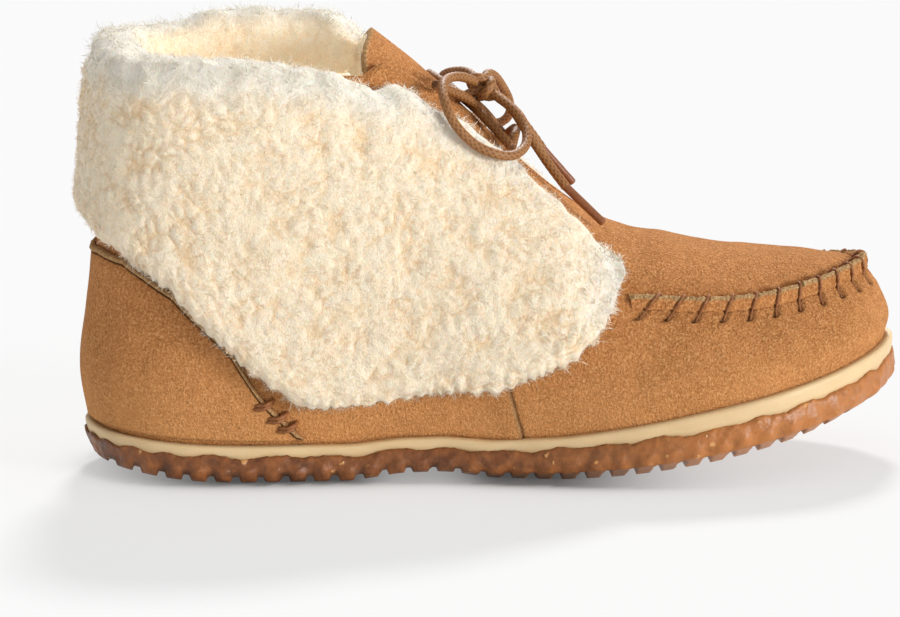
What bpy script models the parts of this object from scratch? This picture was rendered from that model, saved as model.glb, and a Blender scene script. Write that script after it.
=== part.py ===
"""A moccasin ankle boot with a fold-down fleece cuff: one right boot, toe towards +X, inner side towards +Y.

Run with: blender --background --python part.py
Lengths are in metres. The floor is z = 0. The boot is worked out in its own coordinates, with x measured
from the back of the sole, and an empty then carries it so that the origin lies under the heel.
"""

import math
from collections import namedtuple

import bmesh
import bpy
import numpy as np
from mathutils import Matrix, Vector, noise

# Driving sizes
LENGTH = 0.262
BALL_WIDTH = 0.098
SEAM_HEIGHT = 0.060
VAMP_HEIGHT = 0.0787
COLLAR_HEIGHT = 0.134
HEEL_TO_ORIGIN = 0.052

# Sole
OUTSOLE_HEEL = 0.0070
OUTSOLE_TOE = 0.0108
MIDSOLE_HEEL = 0.0050
MIDSOLE_TOE = 0.0074
TOE_SPRING = 0.0215
HEEL_RISE = 0.0045
ARCH_LIFT = 0.0019
RIM_LIP = 0.0016
RIM_WALL = 0.0014
RIM_WAVE = 0.0007
RIM_WAVELENGTH = 0.0215
LUG_PITCH = 0.0077
LUG_GAP = 0.0026
LUG_DEPTH = 0.0040
TREAD_ROW_SPACING = 0.0150
EDGE_CAMBER = 0.0030
EDGE_CAMBER_WIDTH = 0.0104

# Upper and what is fitted to it
UPPER_WALL = 0.0022
FEATHER_INSET = 0.0034
CLEARANCE = 0.0004
FLEECE_CLEARANCE = 0.0008
SEAT_GAP = 0.0005
COUNTER_WALL = 0.0011
COUNTER_BEAD = 0.0022
SEAM_BEAD_WIDTH = 0.0034
SEAM_BEAD_HEIGHT = 0.0030
SEAM_PLEAT = 0.0006
STITCH_PITCH = 0.0082
TONGUE_WALL = 0.0024
TONGUE_RISE = 0.0045
INSOLE_HEIGHT = 0.0050

# Fleece
CUFF_THICKNESS = 0.0086
CUFF_LOCK = 0.0030
LINING_LOCK = 0.0016
LOCK_PATCH = 0.0170
LINING_THICKNESS = 0.0080
ROLL_RISE = 0.0058

# Lace
LACE_DIAMETER = 0.0030
LACE_LIFT = 0.0022
CROSSING_RISE = 0.0016
BAR_RISE = 0.0046
TIE_RISE = 0.0004
STRAND_STEP = 0.00023
LOOP_MARGIN = 0.0007
TIE_MARGIN = 0.0014
AGLET_DIAMETER = 0.0026
KNOT_SIZE = (0.0056, 0.0048, 0.0042)
KNOT_TILT = math.radians(35)

# Mesh fineness
UPPER_COLUMNS_PER_STATION = 2
SOLE_COLUMNS_PER_STATION = 3
CUFF_COLUMNS_PER_STATION = 4
UPPER_ROWS = 10
CUFF_ROWS = 12

# One row a station, evenly spaced round each side from the back of the heel to the tip of the toe. Every x is a
# share of LENGTH from the heel and every width a share of BALL_WIDTH from the middle line, outer side (lateral)
# and inner side (medial). foot is the sole's outline, seam the line of the moccasin seam carried on round the
# heel at ankle height, and top the collar, then the throat's edge, then the ridge of the closed vamp.
Section = namedtuple(
    "Section",
    "foot_x foot_lat foot_med seam_x seam_lat seam_med seam_z top_x top_lat top_med rise vamp crown",
)
SECTIONS = [
    Section(0.000, 0.000, 0.000, 0.017, 0.000, 0.000, 1.03, 0.041, 0.000, 0.000, 0.91, 1.00, 0.000),
    Section(0.013, 0.158, 0.158, 0.026, 0.148, 0.148, 1.03, 0.050, 0.133, 0.133, 0.93, 1.00, 0.000),
    Section(0.046, 0.265, 0.265, 0.055, 0.250, 0.250, 1.03, 0.073, 0.235, 0.235, 0.97, 1.00, 0.000),
    Section(0.107, 0.337, 0.337, 0.111, 0.316, 0.316, 1.03, 0.119, 0.301, 0.301, 1.00, 1.00, 0.000),
    Section(0.198, 0.357, 0.352, 0.198, 0.342, 0.337, 1.03, 0.195, 0.321, 0.321, 1.01, 1.00, 0.000),
    Section(0.305, 0.352, 0.327, 0.298, 0.347, 0.321, 1.03, 0.276, 0.298, 0.298, 1.00, 1.00, 0.006),
    Section(0.405, 0.362, 0.301, 0.389, 0.352, 0.306, 1.02, 0.346, 0.214, 0.214, 0.96, 1.00, 0.025),
    Section(0.500, 0.403, 0.321, 0.481, 0.367, 0.316, 1.00, 0.430, 0.122, 0.122, 0.75, 1.00, 0.046),
    Section(0.592, 0.454, 0.388, 0.569, 0.378, 0.347, 0.985, 0.527, 0.092, 0.092, 0.34, 1.00, 0.050),
    Section(0.679, 0.490, 0.459, 0.653, 0.367, 0.367, 0.960, 0.626, 0.000, 0.000, 0.00, 1.00, 0.052),
    Section(0.775, 0.485, 0.485, 0.740, 0.342, 0.362, 0.925, 0.702, -0.020, 0.020, 0.00, 0.925, 0.046),
    Section(0.855, 0.423, 0.459, 0.814, 0.291, 0.337, 0.930, 0.769, -0.036, 0.036, 0.00, 0.882, 0.040),
    Section(0.927, 0.296, 0.388, 0.878, 0.199, 0.276, 0.970, 0.818, -0.046, 0.046, 0.00, 0.860, 0.030),
    Section(0.975, 0.133, 0.276, 0.925, 0.077, 0.189, 1.010, 0.850, -0.056, 0.056, 0.00, 0.847, 0.018),
    Section(1.000, -0.092, 0.092, 0.953, -0.071, 0.071, 1.035, 0.868, -0.061, 0.061, 0.00, 0.840, 0.008),
]
TOE = len(SECTIONS) - 1
LOOP = 2 * TOE
COLLAR_FRONT = 6
VAMP_POINT = 9

# Swell of the wall between the sole and the seam: how high on that stretch it lies, and how far out it stands
SWELL_UP = 0.38
SWELL_IN = 0.22
SWELL_OUT = 0.026

# Where the sole lies flat on the floor, as shares of LENGTH, and how the toe spring curves up
HEEL_FLAT = 0.200
ARCH_START = 0.31
ARCH_END = 0.50
TOE_FLAT = 0.56
TOE_CURVE = 1.55

# Top edge of the heel counter: station, and height as a share of the section from the sole (0) to the top (1)
COUNTER_EDGE = [
    (0.0, 0.575),
    (1.0, 0.565),
    (2.0, 0.535),
    (2.7, 0.490),
    (3.0, 0.450),
    (3.65, 0.335),
    (4.0, 0.250),
    (4.35, 0.155),
    (4.7, 0.050),
]

# The folded cuff: station, lower edge and upper edge, as shares of the section
CUFF_EDGES = [
    (0.0, 0.660, 1.0),
    (1.0, 0.640, 1.0),
    (2.0, 0.590, 1.0),
    (3.0, 0.505, 1.0),
    (4.0, 0.310, 1.0),
    (4.6, 0.185, 1.0),
    (5.3, 0.175, 0.990),
    (6.0, 0.195, 0.945),
    (6.5, 0.215, 0.920),
    (7.0, 0.242, 0.898),
    (7.6, 0.285, 0.862),
    (8.0, 0.315, 0.800),
    (8.4, 0.375, 0.725),
    (8.7, 0.460, 0.685),
    (8.85, 0.520, 0.665),
    (8.95, 0.570, 0.630),
]
CUFF_FRONT = CUFF_EDGES[-1][0]
LINING_FRONT = 5.5
LINING_LOW = 0.68
SEAM_START = 8.98

# Tongue: it starts under the closed vamp and ends at the collar's front
TONGUE_START = 9.5
TONGUE_END = 6.2
TONGUE_EDGE = 0.80
TONGUE_CROWN = 0.50

# Eyelets: station, and share of the section
EYELETS = {"upper": (6.85, 0.985), "lower": (7.8, 0.975)}

SUEDE = ("suede", (0.560, 0.291, 0.122), 0.92)
SUEDE_SEAM = ("suede_seam", (0.500, 0.280, 0.130), 0.92)
FLEECE = ("fleece", (0.880, 0.770, 0.600), 1.00)
GUM = ("gum_rubber", (0.300, 0.115, 0.040), 0.48)
CREAM = ("cream_rubber", (0.750, 0.590, 0.340), 0.55)
LACE = ("lace_cord", (0.330, 0.130, 0.050), 0.75)
AGLET = ("aglet", (0.260, 0.110, 0.060), 0.50)


# Curves and surfaces of the last


def blend(a, b, c, d, u):
    """Catmull-Rom between b and c."""
    return 0.5 * (
        2 * b + (c - a) * u + (2 * a - 5 * b + 4 * c - d) * u * u + (3 * b - a - 3 * c + d) * u ** 3
    )


def loop_value(rail, p):
    """The point at loop position p of a closed rail: 0 is the heel, TOE the toe, and it comes back on the inside."""
    i = math.floor(p)
    u = p - i
    a, b, c, d = (rail[(i + k) % len(rail)] for k in (-1, 0, 1, 2))
    return blend(a, b, c, d, u)


def ramp(x, start, end):
    """0 before start and 1 after end, with a soft change between them."""
    u = min(1.0, max(0.0, (x - start) / (end - start)))
    return u * u * (3 - 2 * u)


def table_value(rows, x, column):
    """A column of a table, read between its rows along its first column."""
    return float(np.interp(x, [row[0] for row in rows], [row[column] for row in rows]))


def station_of(p):
    """The station, 0 at the heel and TOE at the toe, of a loop position on either side."""
    p = p % LOOP
    return min(p, LOOP - p)


def sole_bottom(x):
    """Height of the sole's underside: flat at heel and ball, raised at the back, the arch and the toe."""
    share = x / LENGTH
    back = max(0.0, 1 - share / HEEL_FLAT) ** 2 * HEEL_RISE
    arch = ramp(share, ARCH_START, ARCH_START + 0.08) * (1 - ramp(share, ARCH_END - 0.08, ARCH_END))
    toe = max(0.0, (share - TOE_FLAT) / (1 - TOE_FLAT)) ** TOE_CURVE
    return back + arch * ARCH_LIFT + toe * TOE_SPRING


def outsole_top(x):
    thickness = OUTSOLE_HEEL + (OUTSOLE_TOE - OUTSOLE_HEEL) * ramp(x / LENGTH, 0.36, 0.66)
    return sole_bottom(x) + thickness


def midsole_top(x):
    return outsole_top(x) + MIDSOLE_HEEL + (MIDSOLE_TOE - MIDSOLE_HEEL) * ramp(x / LENGTH, 0.55, 0.78)


def both_sides(outer, inner):
    """One closed rail from the stations of the outer side and of the inner side."""
    return outer + inner[-2:0:-1]


def plan_rail():
    outer = [Vector((s.foot_x * LENGTH, -s.foot_lat * BALL_WIDTH, 0)) for s in SECTIONS]
    inner = [Vector((s.foot_x * LENGTH, s.foot_med * BALL_WIDTH, 0)) for s in SECTIONS]
    return both_sides(outer, inner)


PLAN = plan_rail()


def plan_point(p, inset=0.0):
    """A point of the sole's outline, moved in by inset."""
    step = 0.02
    along = (loop_value(PLAN, p + step) - loop_value(PLAN, p - step)).normalized()
    inwards = Vector((-along.y, along.x, 0))
    return loop_value(PLAN, p) + inwards * inset


def side_rails(outer):
    """Foot, swell, seam, crown and top points of one side."""
    sign = -1 if outer else 1
    rails = {name: [] for name in ("foot", "swell", "seam", "crown", "top")}
    for i, s in enumerate(SECTIONS):
        p = i if outer else LOOP - i
        foot = plan_point(p, FEATHER_INSET)
        foot.z = midsole_top(foot.x) + SEAT_GAP
        seam_y = sign * (s.seam_lat if outer else s.seam_med) * BALL_WIDTH
        seam = Vector((s.seam_x * LENGTH, seam_y, s.seam_z * SEAM_HEIGHT))
        top_y = sign * (s.top_lat if outer else s.top_med) * BALL_WIDTH
        top_z = s.vamp * VAMP_HEIGHT + s.rise * (COLLAR_HEIGHT - VAMP_HEIGHT)
        top = Vector((s.top_x * LENGTH, top_y, top_z))
        outwards = -(plan_point(p, 1.0) - plan_point(p)).normalized()
        swell = foot.lerp(seam, SWELL_IN) + outwards * SWELL_OUT * BALL_WIDTH
        swell.z = foot.z + SWELL_UP * (seam.z - foot.z)
        crown = seam.lerp(top, 0.5)
        core_x = min(0.85 * LENGTH, max(0.19 * LENGTH, crown.x))
        lift = crown - Vector((core_x, 0, 0.8 * SEAM_HEIGHT))
        lift -= lift.project(top - seam)
        crown += lift.normalized() * s.crown * BALL_WIDTH
        for name, point in zip(rails, (foot, swell, seam, crown, top)):
            rails[name].append(point)
    return rails


def all_rails():
    outer, inner = side_rails(True), side_rails(False)
    return {name: both_sides(outer[name], inner[name]) for name in outer}


RAILS = all_rails()


def rail_point(name, p):
    point = loop_value(RAILS[name], p)
    if name == "foot":
        point.z = midsole_top(point.x) + SEAT_GAP
    if name == "top" and station_of(p) >= VAMP_POINT:
        point = (point + loop_value(RAILS[name], LOOP - p)) / 2
    return point


def surface(p, t):
    """The outer face of the upper: p goes round the boot, t from the sole (0) to the top edge or ridge (1)."""
    foot, swell, seam, crown, top = (rail_point(name, p) for name in RAILS)
    below = 2 * foot - swell
    if station_of(p) >= VAMP_POINT:
        beyond = rail_point("crown", LOOP - p)
    else:
        beyond = 2 * top - crown
    points = [below, foot, swell, seam, crown, top, beyond]
    k = min(3, max(0, int(math.floor(t * 4))))
    return blend(*points[k : k + 4], t * 4 - k)


def frame_at(p, t):
    """Point, outward normal and upward direction along the surface."""
    dp, dt = 0.05, 0.02
    tc = min(0.97, max(0.03, t))
    along = surface(p + dp, tc) - surface(p - dp, tc)
    up = surface(p, tc + dt) - surface(p, tc - dt)
    return surface(p, t), along.cross(up).normalized(), up.normalized()


def skin(p, t, lift):
    """A point of the surface moved out by lift, or in where lift is negative."""
    point, normal, _ = frame_at(p, t)
    return point + normal * lift


# Making objects


def clear_scene():
    for obj in list(bpy.data.objects):
        bpy.data.objects.remove(obj, do_unlink=True)


def make_material(look):
    name, colour, roughness = look
    found = bpy.data.materials.get(name)
    if found:
        return found
    made = bpy.data.materials.new(name)
    made.use_nodes = True
    shader = made.node_tree.nodes["Principled BSDF"]
    shader.inputs["Base Color"].default_value = (*colour, 1)
    shader.inputs["Roughness"].default_value = roughness
    shader.inputs["Metallic"].default_value = 0.0
    return made


def new_collection(name):
    made = bpy.data.collections.new(name)
    bpy.context.scene.collection.children.link(made)
    return made


def mesh_object(name, points, faces, look, home):
    mesh = bpy.data.meshes.new(name)
    mesh.from_pydata([tuple(v) for v in points], [], faces)
    work = bmesh.new()
    work.from_mesh(mesh)
    bmesh.ops.remove_doubles(work, verts=work.verts, dist=1e-6)
    bmesh.ops.recalc_face_normals(work, faces=work.faces)
    work.to_mesh(mesh)
    work.free()
    mesh.shade_smooth()
    mesh.materials.append(make_material(look))
    made = bpy.data.objects.new(name, mesh)
    home.objects.link(made)
    return made


def sheet_object(name, rows, look, home, closed=False):
    """An open surface through a grid of points. closed joins the end of each row to its start."""
    width = len(rows[0])
    points = [v for row in rows for v in row]
    steps = width if closed else width - 1
    faces = []
    for r in range(len(rows) - 1):
        for c in range(steps):
            d = (c + 1) % width
            faces.append((r * width + c, r * width + d, (r + 1) * width + d, (r + 1) * width + c))
    return mesh_object(name, points, faces, look, home)


def solidify(obj, thickness, side):
    """side 1 thickens along the normals and -1 against them."""
    shell = obj.modifiers.new("wall", "SOLIDIFY")
    shell.thickness = thickness
    shell.offset = side
    shell.use_even_offset = False
    shell.use_quality_normals = True


def loft_object(name, sections, look, home):
    """A solid through closed sections that all have the same number of points, capped at both ends."""
    count = len(sections[0])
    points = [v for section in sections for v in section]
    faces = [tuple(range(count)), tuple(range(len(points) - 1, len(points) - 1 - count, -1))]
    for k in range(len(sections) - 1):
        for c in range(count):
            d = (c + 1) % count
            faces.append((k * count + c, (k + 1) * count + c, (k + 1) * count + d, k * count + d))
    return mesh_object(name, points, faces, look, home)


def layer_object(name, profile_at, columns, look, home):
    """A layer of the sole: profile_at(p) gives the points from its lower edge to its upper edge at loop
    position p, and strips across the foot close it below and above."""
    profiles = [profile_at(LOOP * c / columns) for c in range(columns)]
    rows = len(profiles[0])
    points = [v for profile in profiles for v in profile]
    faces = []
    for c in range(columns):
        d = (c + 1) % columns
        for r in range(rows - 1):
            faces.append((c * rows + r, d * rows + r, d * rows + r + 1, c * rows + r + 1))
    half = columns // 2
    for c in range(half):
        far, farther = (columns - c) % columns, columns - c - 1
        for r in (0, rows - 1):
            ring = [v * rows + r for v in (c, c + 1, farther, far)]
            faces.append(tuple(dict.fromkeys(ring)))
    return mesh_object(name, points, faces, look, home)


def as_mesh(obj, home):
    """The evaluated shape of a curve object as a mesh object of the same name, with its caps joined on."""
    bpy.context.view_layer.update()
    evaluated = obj.evaluated_get(bpy.context.evaluated_depsgraph_get())
    mesh = bpy.data.meshes.new_from_object(evaluated)
    work = bmesh.new()
    work.from_mesh(mesh)
    bmesh.ops.remove_doubles(work, verts=work.verts, dist=1e-6)
    bmesh.ops.recalc_face_normals(work, faces=work.faces)
    work.to_mesh(mesh)
    work.free()
    name, matrix = obj.name, obj.matrix_world.copy()
    bpy.data.objects.remove(obj, do_unlink=True)
    made = bpy.data.objects.new(name, mesh)
    made.matrix_world = matrix
    home.objects.link(made)
    return made


# Sole


def rim_height(p):
    """The gum's top edge laps up on the cream band in uneven waves."""
    arc = p * LENGTH / TOE
    wave = math.sin(arc * math.tau / RIM_WAVELENGTH) + 0.5 * math.sin(0.61 * arc * math.tau / RIM_WAVELENGTH + 1.3)
    return RIM_LIP + RIM_WAVE * wave


def camber(x):
    """How much the edge of the underside is raised: not at all under the heel, most under the ball."""
    return EDGE_CAMBER * ramp(x / LENGTH, 0.30, 0.62)


def outsole_profile(p):
    """Underside edge, side, wavy rim, and the seat inside the rim that the midsole lies in."""
    inner = plan_point(p, EDGE_CAMBER_WIDTH)
    inner.z = sole_bottom(inner.x)
    profile = [inner]
    for inset, height in ((0.0034, 0.0002), (0.0010, 0.0014), (0.0000, 0.0036)):
        point = plan_point(p, inset)
        point.z = sole_bottom(point.x) + height + camber(point.x)
        profile.append(point)
    for inset, height in ((0.0003, -0.0012), (0.0006, rim_height(p)), (0.0006 + RIM_WALL, rim_height(p))):
        point = plan_point(p, inset)
        point.z = outsole_top(point.x) + height
        profile.append(point)
    seat = plan_point(p, 0.0006 + RIM_WALL)
    seat.z = outsole_top(seat.x)
    return profile + [seat]


def groove_bars(name, spans, home):
    """Cutting bars, each a box from start to end of its span, LUG_DEPTH into the sole's underside."""
    work = bmesh.new()
    for centre, direction, length, width in spans:
        along = direction.normalized()
        across = Vector((0, 0, 1)).cross(along).normalized()
        upright = along.cross(across)
        turn = Matrix((along, across, upright)).transposed().to_4x4()
        size = Matrix.Diagonal((length, width, 2 * LUG_DEPTH, 1))
        bmesh.ops.create_cube(work, size=1.0, matrix=Matrix.Translation(centre) @ turn @ size)
    mesh = bpy.data.meshes.new(name)
    work.to_mesh(mesh)
    work.free()
    made = bpy.data.objects.new(name, mesh)
    made.hide_render = True
    made.display_type = "WIRE"
    home.objects.link(made)
    return made


def make_outsole(home, cutters):
    columns = LOOP * SOLE_COLUMNS_PER_STATION
    outsole = layer_object("outsole", outsole_profile, columns, GUM, home)
    first = -math.floor(HEEL_TO_ORIGIN / LUG_PITCH)
    last = math.floor((LENGTH - HEEL_TO_ORIGIN) / LUG_PITCH)
    across = []
    for k in range(first, last):
        x = HEEL_TO_ORIGIN + (k + 0.5) * LUG_PITCH
        centre = Vector((x, 0, sole_bottom(x)))
        slope = (sole_bottom(x + 0.001) - sole_bottom(x - 0.001)) / 0.002
        tilt = Vector((1, 0, slope)).normalized()
        across.append((centre, tilt, LUG_GAP, 1.5 * BALL_WIDTH))
    start, end = (HEEL_TO_ORIGIN + (k + 0.5) * LUG_PITCH for k in (first + 2, last - 9))
    middle = (start + end) / 2
    along = [
        (Vector((middle, side * TREAD_ROW_SPACING, 0)), Vector((1, 0, 0)), end - start, LUG_GAP)
        for side in (-1, 1)
    ]
    for name, spans in (("cross_grooves", across), ("long_grooves", along)):
        cut = outsole.modifiers.new(name, "BOOLEAN")
        cut.operation = "DIFFERENCE"
        cut.object = groove_bars(name, spans, cutters)
    return outsole


def midsole_profile(p):
    """The cream band: it stands in the outsole's rim and swells out a little above it."""
    seat_inset = 0.0006 + RIM_WALL + SEAT_GAP
    rows = (
        (seat_inset, 0.0),
        (seat_inset, 0.42),
        (seat_inset - 0.0007, 0.62),
        (seat_inset - 0.0006, 0.86),
        (seat_inset + 0.0006, 1.0),
    )
    profile = []
    for inset, share in rows:
        point = plan_point(p, inset)
        low = outsole_top(point.x) + CLEARANCE
        point.z = low + share * (midsole_top(point.x) - low)
        profile.append(point)
    return profile


def insole_profile(p):
    """The footbed, inside the upper's wall."""
    edge = FEATHER_INSET + UPPER_WALL + 3 * CLEARANCE
    profile = []
    for inset, share in ((edge + 0.0008, 0.0), (edge, 0.35), (edge + 0.0006, 0.85), (edge + 0.003, 1.0)):
        point = plan_point(p, inset)
        point.z = midsole_top(point.x) + SEAT_GAP + share * INSOLE_HEIGHT
        profile.append(point)
    return profile


# Upper


def make_upper(home):
    columns = LOOP * UPPER_COLUMNS_PER_STATION
    rows = []
    for r in range(UPPER_ROWS + 1):
        rows.append([surface(LOOP * c / columns, r / UPPER_ROWS) for c in range(columns)])
    upper = sheet_object("upper", rows, SUEDE, home, closed=True)
    solidify(upper, UPPER_WALL, -1)
    return upper


def spread(start, end, count):
    return [start + (end - start) * k / (count - 1) for k in range(count)]


def make_counter(home):
    """The heel counter is an overlay, and its top edge is a turned and raised bead."""
    reach = COUNTER_EDGE[-1][0]
    sections = []
    whole = math.floor(reach * UPPER_COLUMNS_PER_STATION)
    columns = [k / UPPER_COLUMNS_PER_STATION for k in range(-whole, whole + 1)]
    for p in [-reach] + columns + [reach]:
        edge = table_value(COUNTER_EDGE, abs(p), 1)
        low = min(0.02, 0.4 * edge)
        outer = [skin(p, t, CLEARANCE + COUNTER_WALL) for t in spread(low, edge - 0.2 * (edge - low), 5)]
        outer += [skin(p, edge - 0.04 * (edge - low), CLEARANCE + COUNTER_BEAD)]
        outer += [skin(p, edge, CLEARANCE + 0.6 * COUNTER_BEAD)]
        inner = [skin(p, t, CLEARANCE) for t in spread(edge, low, 6)]
        sections.append(outer + inner)
    return loft_object("heel_counter", sections, SUEDE, home)


def make_seam_bead(home):
    """The gathered edge of the vamp, stitched up round the apron."""
    start, end = SEAM_START, LOOP - SEAM_START
    fine = [surface(p, 0.5) for p in spread(start, end, 400)]
    arc = [0.0]
    for a, b in zip(fine, fine[1:]):
        arc.append(arc[-1] + (b - a).length)
    stitches = round(arc[-1] / STITCH_PITCH)
    places = spread(0.0, arc[-1], 4 * stitches + 1)
    sections = []
    for k, place in enumerate(places):
        p = float(np.interp(place, arc, spread(start, end, len(arc))))
        point, normal, up = frame_at(p, 0.5)
        pleat = SEAM_PLEAT * math.cos(math.pi * k / 2)
        taper = min(1.0, 0.35 + 0.65 * min(k, len(places) - 1 - k) / 4)
        half = SEAM_BEAD_WIDTH / 2
        outline = (
            (-half - pleat, CLEARANCE),
            (-half - 2 * pleat, 0.45 * SEAM_BEAD_HEIGHT),
            (-0.35 * half, SEAM_BEAD_HEIGHT - pleat),
            (0.55 * half, SEAM_BEAD_HEIGHT - pleat),
            (half, 0.45 * SEAM_BEAD_HEIGHT),
            (half, CLEARANCE),
        )
        sections.append([point + up * a + normal * max(CLEARANCE, lift * taper) for a, lift in outline])
    return loft_object("apron_seam", sections, SUEDE_SEAM, home)


# Tongue


def tongue_row(station):
    """Points across the tongue, under both facings and crowned up through the gap between them."""
    under = -(UPPER_WALL + 3 * CLEARANCE)
    outer, inner = station, LOOP - station
    left, right = (skin(p, 1.0, under - CLEARANCE) for p in (outer, inner))
    half_gap = (right - left).length / 2
    middle = (left + right) / 2
    if half_gap < 0.002:
        left, right = (skin(p, 0.95, under) for p in (outer, inner))
    slope = surface(outer, 1.0) - surface(outer + 0.2, 1.0)
    up = Vector((-slope.z, 0, slope.x)).normalized()
    up *= 1 if up.z > 0 else -1
    middle += up * TONGUE_CROWN * half_gap
    points = [skin(outer, TONGUE_EDGE, under), skin(outer, 0.9, under), left]
    points += [middle, right, skin(inner, 0.9, under), skin(inner, TONGUE_EDGE, under)]
    points = [2 * points[0] - points[1]] + points + [2 * points[-1] - points[-2]]
    row = []
    for k in range(6):
        row += [blend(*points[k : k + 4], u) for u in (0.0, 0.5)]
    return row + [points[7]]


def make_tongue(home):
    steps = round((TONGUE_START - TONGUE_END) * UPPER_COLUMNS_PER_STATION)
    rows = [tongue_row(station) for station in spread(TONGUE_START, TONGUE_END, steps + 1)]
    last, before = rows[-1], rows[-2]
    top = []
    for k, (a, b) in enumerate(zip(last, before)):
        middle = math.sin(math.pi * k / (len(last) - 1))
        top.append(a + (a - b).normalized() * TONGUE_RISE * middle)
    rows.append(top)
    tongue = sheet_object("tongue", rows, SUEDE, home)
    solidify(tongue, TONGUE_WALL, -1)
    return tongue


# Fleece


def lock(point, column, row, amount):
    """How far the wool stands out: locks in staggered rows, some fuller than others."""
    full = 0.75 + 0.5 * noise.noise(point / LOCK_PATCH)
    return amount * full * ((column + row) % 2)


def roll_point(p, out, up):
    """A point over the collar's edge: out from the wall's outer face, up above the edge."""
    point, normal, _ = frame_at(p, 1.0)
    level = Vector((normal.x, normal.y, 0)).normalized()
    return point + level * out + Vector((0, 0, up))


def cuff_section(p, column):
    """Round lower edge, curled outer face, and the outer half of the roll or a rounded front edge."""
    low, high = (table_value(CUFF_EDGES, station_of(p), column) for column in (1, 2))
    front = 1 - ramp(station_of(p), CUFF_FRONT - 1.1, CUFF_FRONT)
    thickness = CUFF_THICKNESS * (0.5 + 0.5 * front)
    rolled = 1 - ramp(station_of(p), COLLAR_FRONT - 1.0, COLLAR_FRONT)
    gap = FLEECE_CLEARANCE
    section = [skin(p, low, gap), skin(p, low - 0.010 * front, 0.45 * thickness), skin(p, low, 0.85 * thickness)]
    for row, t in enumerate(spread(low + 0.06 * (high - low), high - 0.05 * (high - low), CUFF_ROWS)):
        point, normal, _ = frame_at(p, t)
        section.append(point + normal * (thickness + lock(point, column, row, CUFF_LOCK * front)))
    for out, up in ((0.86, 0.30), (0.62, 0.80), (0.0, 1.0)):
        over = roll_point(p, max(out * thickness, gap), up * ROLL_RISE)
        side = skin(p, high, max(0.8 * out * thickness, gap))
        section.append(side.lerp(over, rolled))
    section.append(skin(p, high, gap).lerp(roll_point(p, gap, 0.12 * ROLL_RISE), rolled))
    section += [skin(p, t, gap) for t in spread(high - 0.02 * (high - low), low + 0.1 * (high - low), 6)]
    return section


def make_cuff(home):
    count = 2 * round(CUFF_FRONT * CUFF_COLUMNS_PER_STATION) + 1
    sections = [cuff_section(p, k) for k, p in enumerate(spread(-CUFF_FRONT, CUFF_FRONT, count))]
    return loft_object("fleece_cuff", sections, FLEECE, home)


def lining_section(p, column):
    """The fleece inside the collar, up to the inner half of the roll."""
    inside = -(UPPER_WALL + CLEARANCE)
    end = ramp(LINING_FRONT - station_of(p), 0.0, 1.2)
    thickness = LINING_THICKNESS * (0.55 + 0.45 * end)
    section = [skin(p, t, inside) for t in spread(LINING_LOW, 0.97, 4)]
    section.append(roll_point(p, inside, 0.15 * ROLL_RISE))
    section.append(roll_point(p, -CLEARANCE, 0.15 * ROLL_RISE))
    section.append(roll_point(p, -CLEARANCE, 0.93 * ROLL_RISE))
    for out, up in ((0.45, 1.0), (0.82, 0.72), (1.0, 0.25)):
        section.append(roll_point(p, inside - out * thickness, up * ROLL_RISE))
    for row, t in enumerate(spread(0.95, LINING_LOW + 0.03, 6)):
        point, normal, _ = frame_at(p, t)
        section.append(point + normal * (inside - thickness - lock(point, column, row, LINING_LOCK)))
    section.append(skin(p, LINING_LOW - 0.01, inside - 0.5 * thickness))
    return section


def make_lining(home):
    count = 2 * round(LINING_FRONT * UPPER_COLUMNS_PER_STATION) + 1
    sections = [lining_section(p, k) for k, p in enumerate(spread(-LINING_FRONT, LINING_FRONT, count))]
    return loft_object("fleece_collar_lining", sections, FLEECE, home)


# Lace. The route's points are in the boot's own coordinates, in metres.

KNOT = Vector((0.1275, -0.0015, 0.1203))
TIE_DIP = KNOT + Vector((-0.0062, 0.0, -0.0034))
NEAR_LOOP = [
    KNOT,
    (0.1232, -0.0062, 0.1231),
    (0.1190, -0.0110, 0.1246),
    (0.1153, -0.0165, 0.1245),
    (0.1134, -0.0238, 0.1230),
    (0.1138, -0.0308, 0.1184),
    (0.1168, -0.0336, 0.1122),
    (0.1222, -0.0342, 0.1066),
    (0.1285, -0.0338, 0.1034),
    (0.1346, -0.0306, 0.1023),
    (0.1392, -0.0235, 0.1044),
    (0.1398, -0.0165, 0.1090),
    (0.1366, -0.0104, 0.1140),
    KNOT,
]
FAR_LOOP = [
    KNOT,
    (0.1294, 0.0046, 0.1234),
    (0.1322, 0.0100, 0.1222),
    (0.1350, 0.0155, 0.1184),
    (0.1376, 0.0208, 0.1134),
    (0.1384, 0.0254, 0.1084),
    (0.1358, 0.0288, 0.1050),
    (0.1308, 0.0306, 0.1048),
    (0.1250, 0.0314, 0.1072),
    (0.1200, 0.0306, 0.1122),
    (0.1166, 0.0272, 0.1176),
    (0.1168, 0.0206, 0.1214),
    (0.1200, 0.0132, 0.1234),
    (0.1238, 0.0066, 0.1236),
    KNOT,
]
NEAR_END = [
    KNOT,
    (0.1360, -0.0030, 0.1140),
    (0.1412, -0.0060, 0.1064),
    (0.1476, -0.0096, 0.0968),
    (0.1530, -0.0126, 0.0896),
]
FAR_END = [
    KNOT,
    (0.1354, 0.0028, 0.1146),
    (0.1414, 0.0048, 0.1074),
    (0.1472, 0.0060, 0.0994),
]
NEAR_AGLET = [NEAR_END[-1], (0.1644, -0.0178, 0.0788)]
FAR_AGLET = [FAR_END[-1], (0.1572, 0.0072, 0.0880)]


def outside_knot(point, margin):
    """Whether a point of a lace's centre line is clear of the knot."""
    local = Matrix.Rotation(-KNOT_TILT, 3, "Y") @ (point - KNOT)
    return sum((c / (size + margin)) ** 2 for c, size in zip(local, KNOT_SIZE)) > 1


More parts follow.
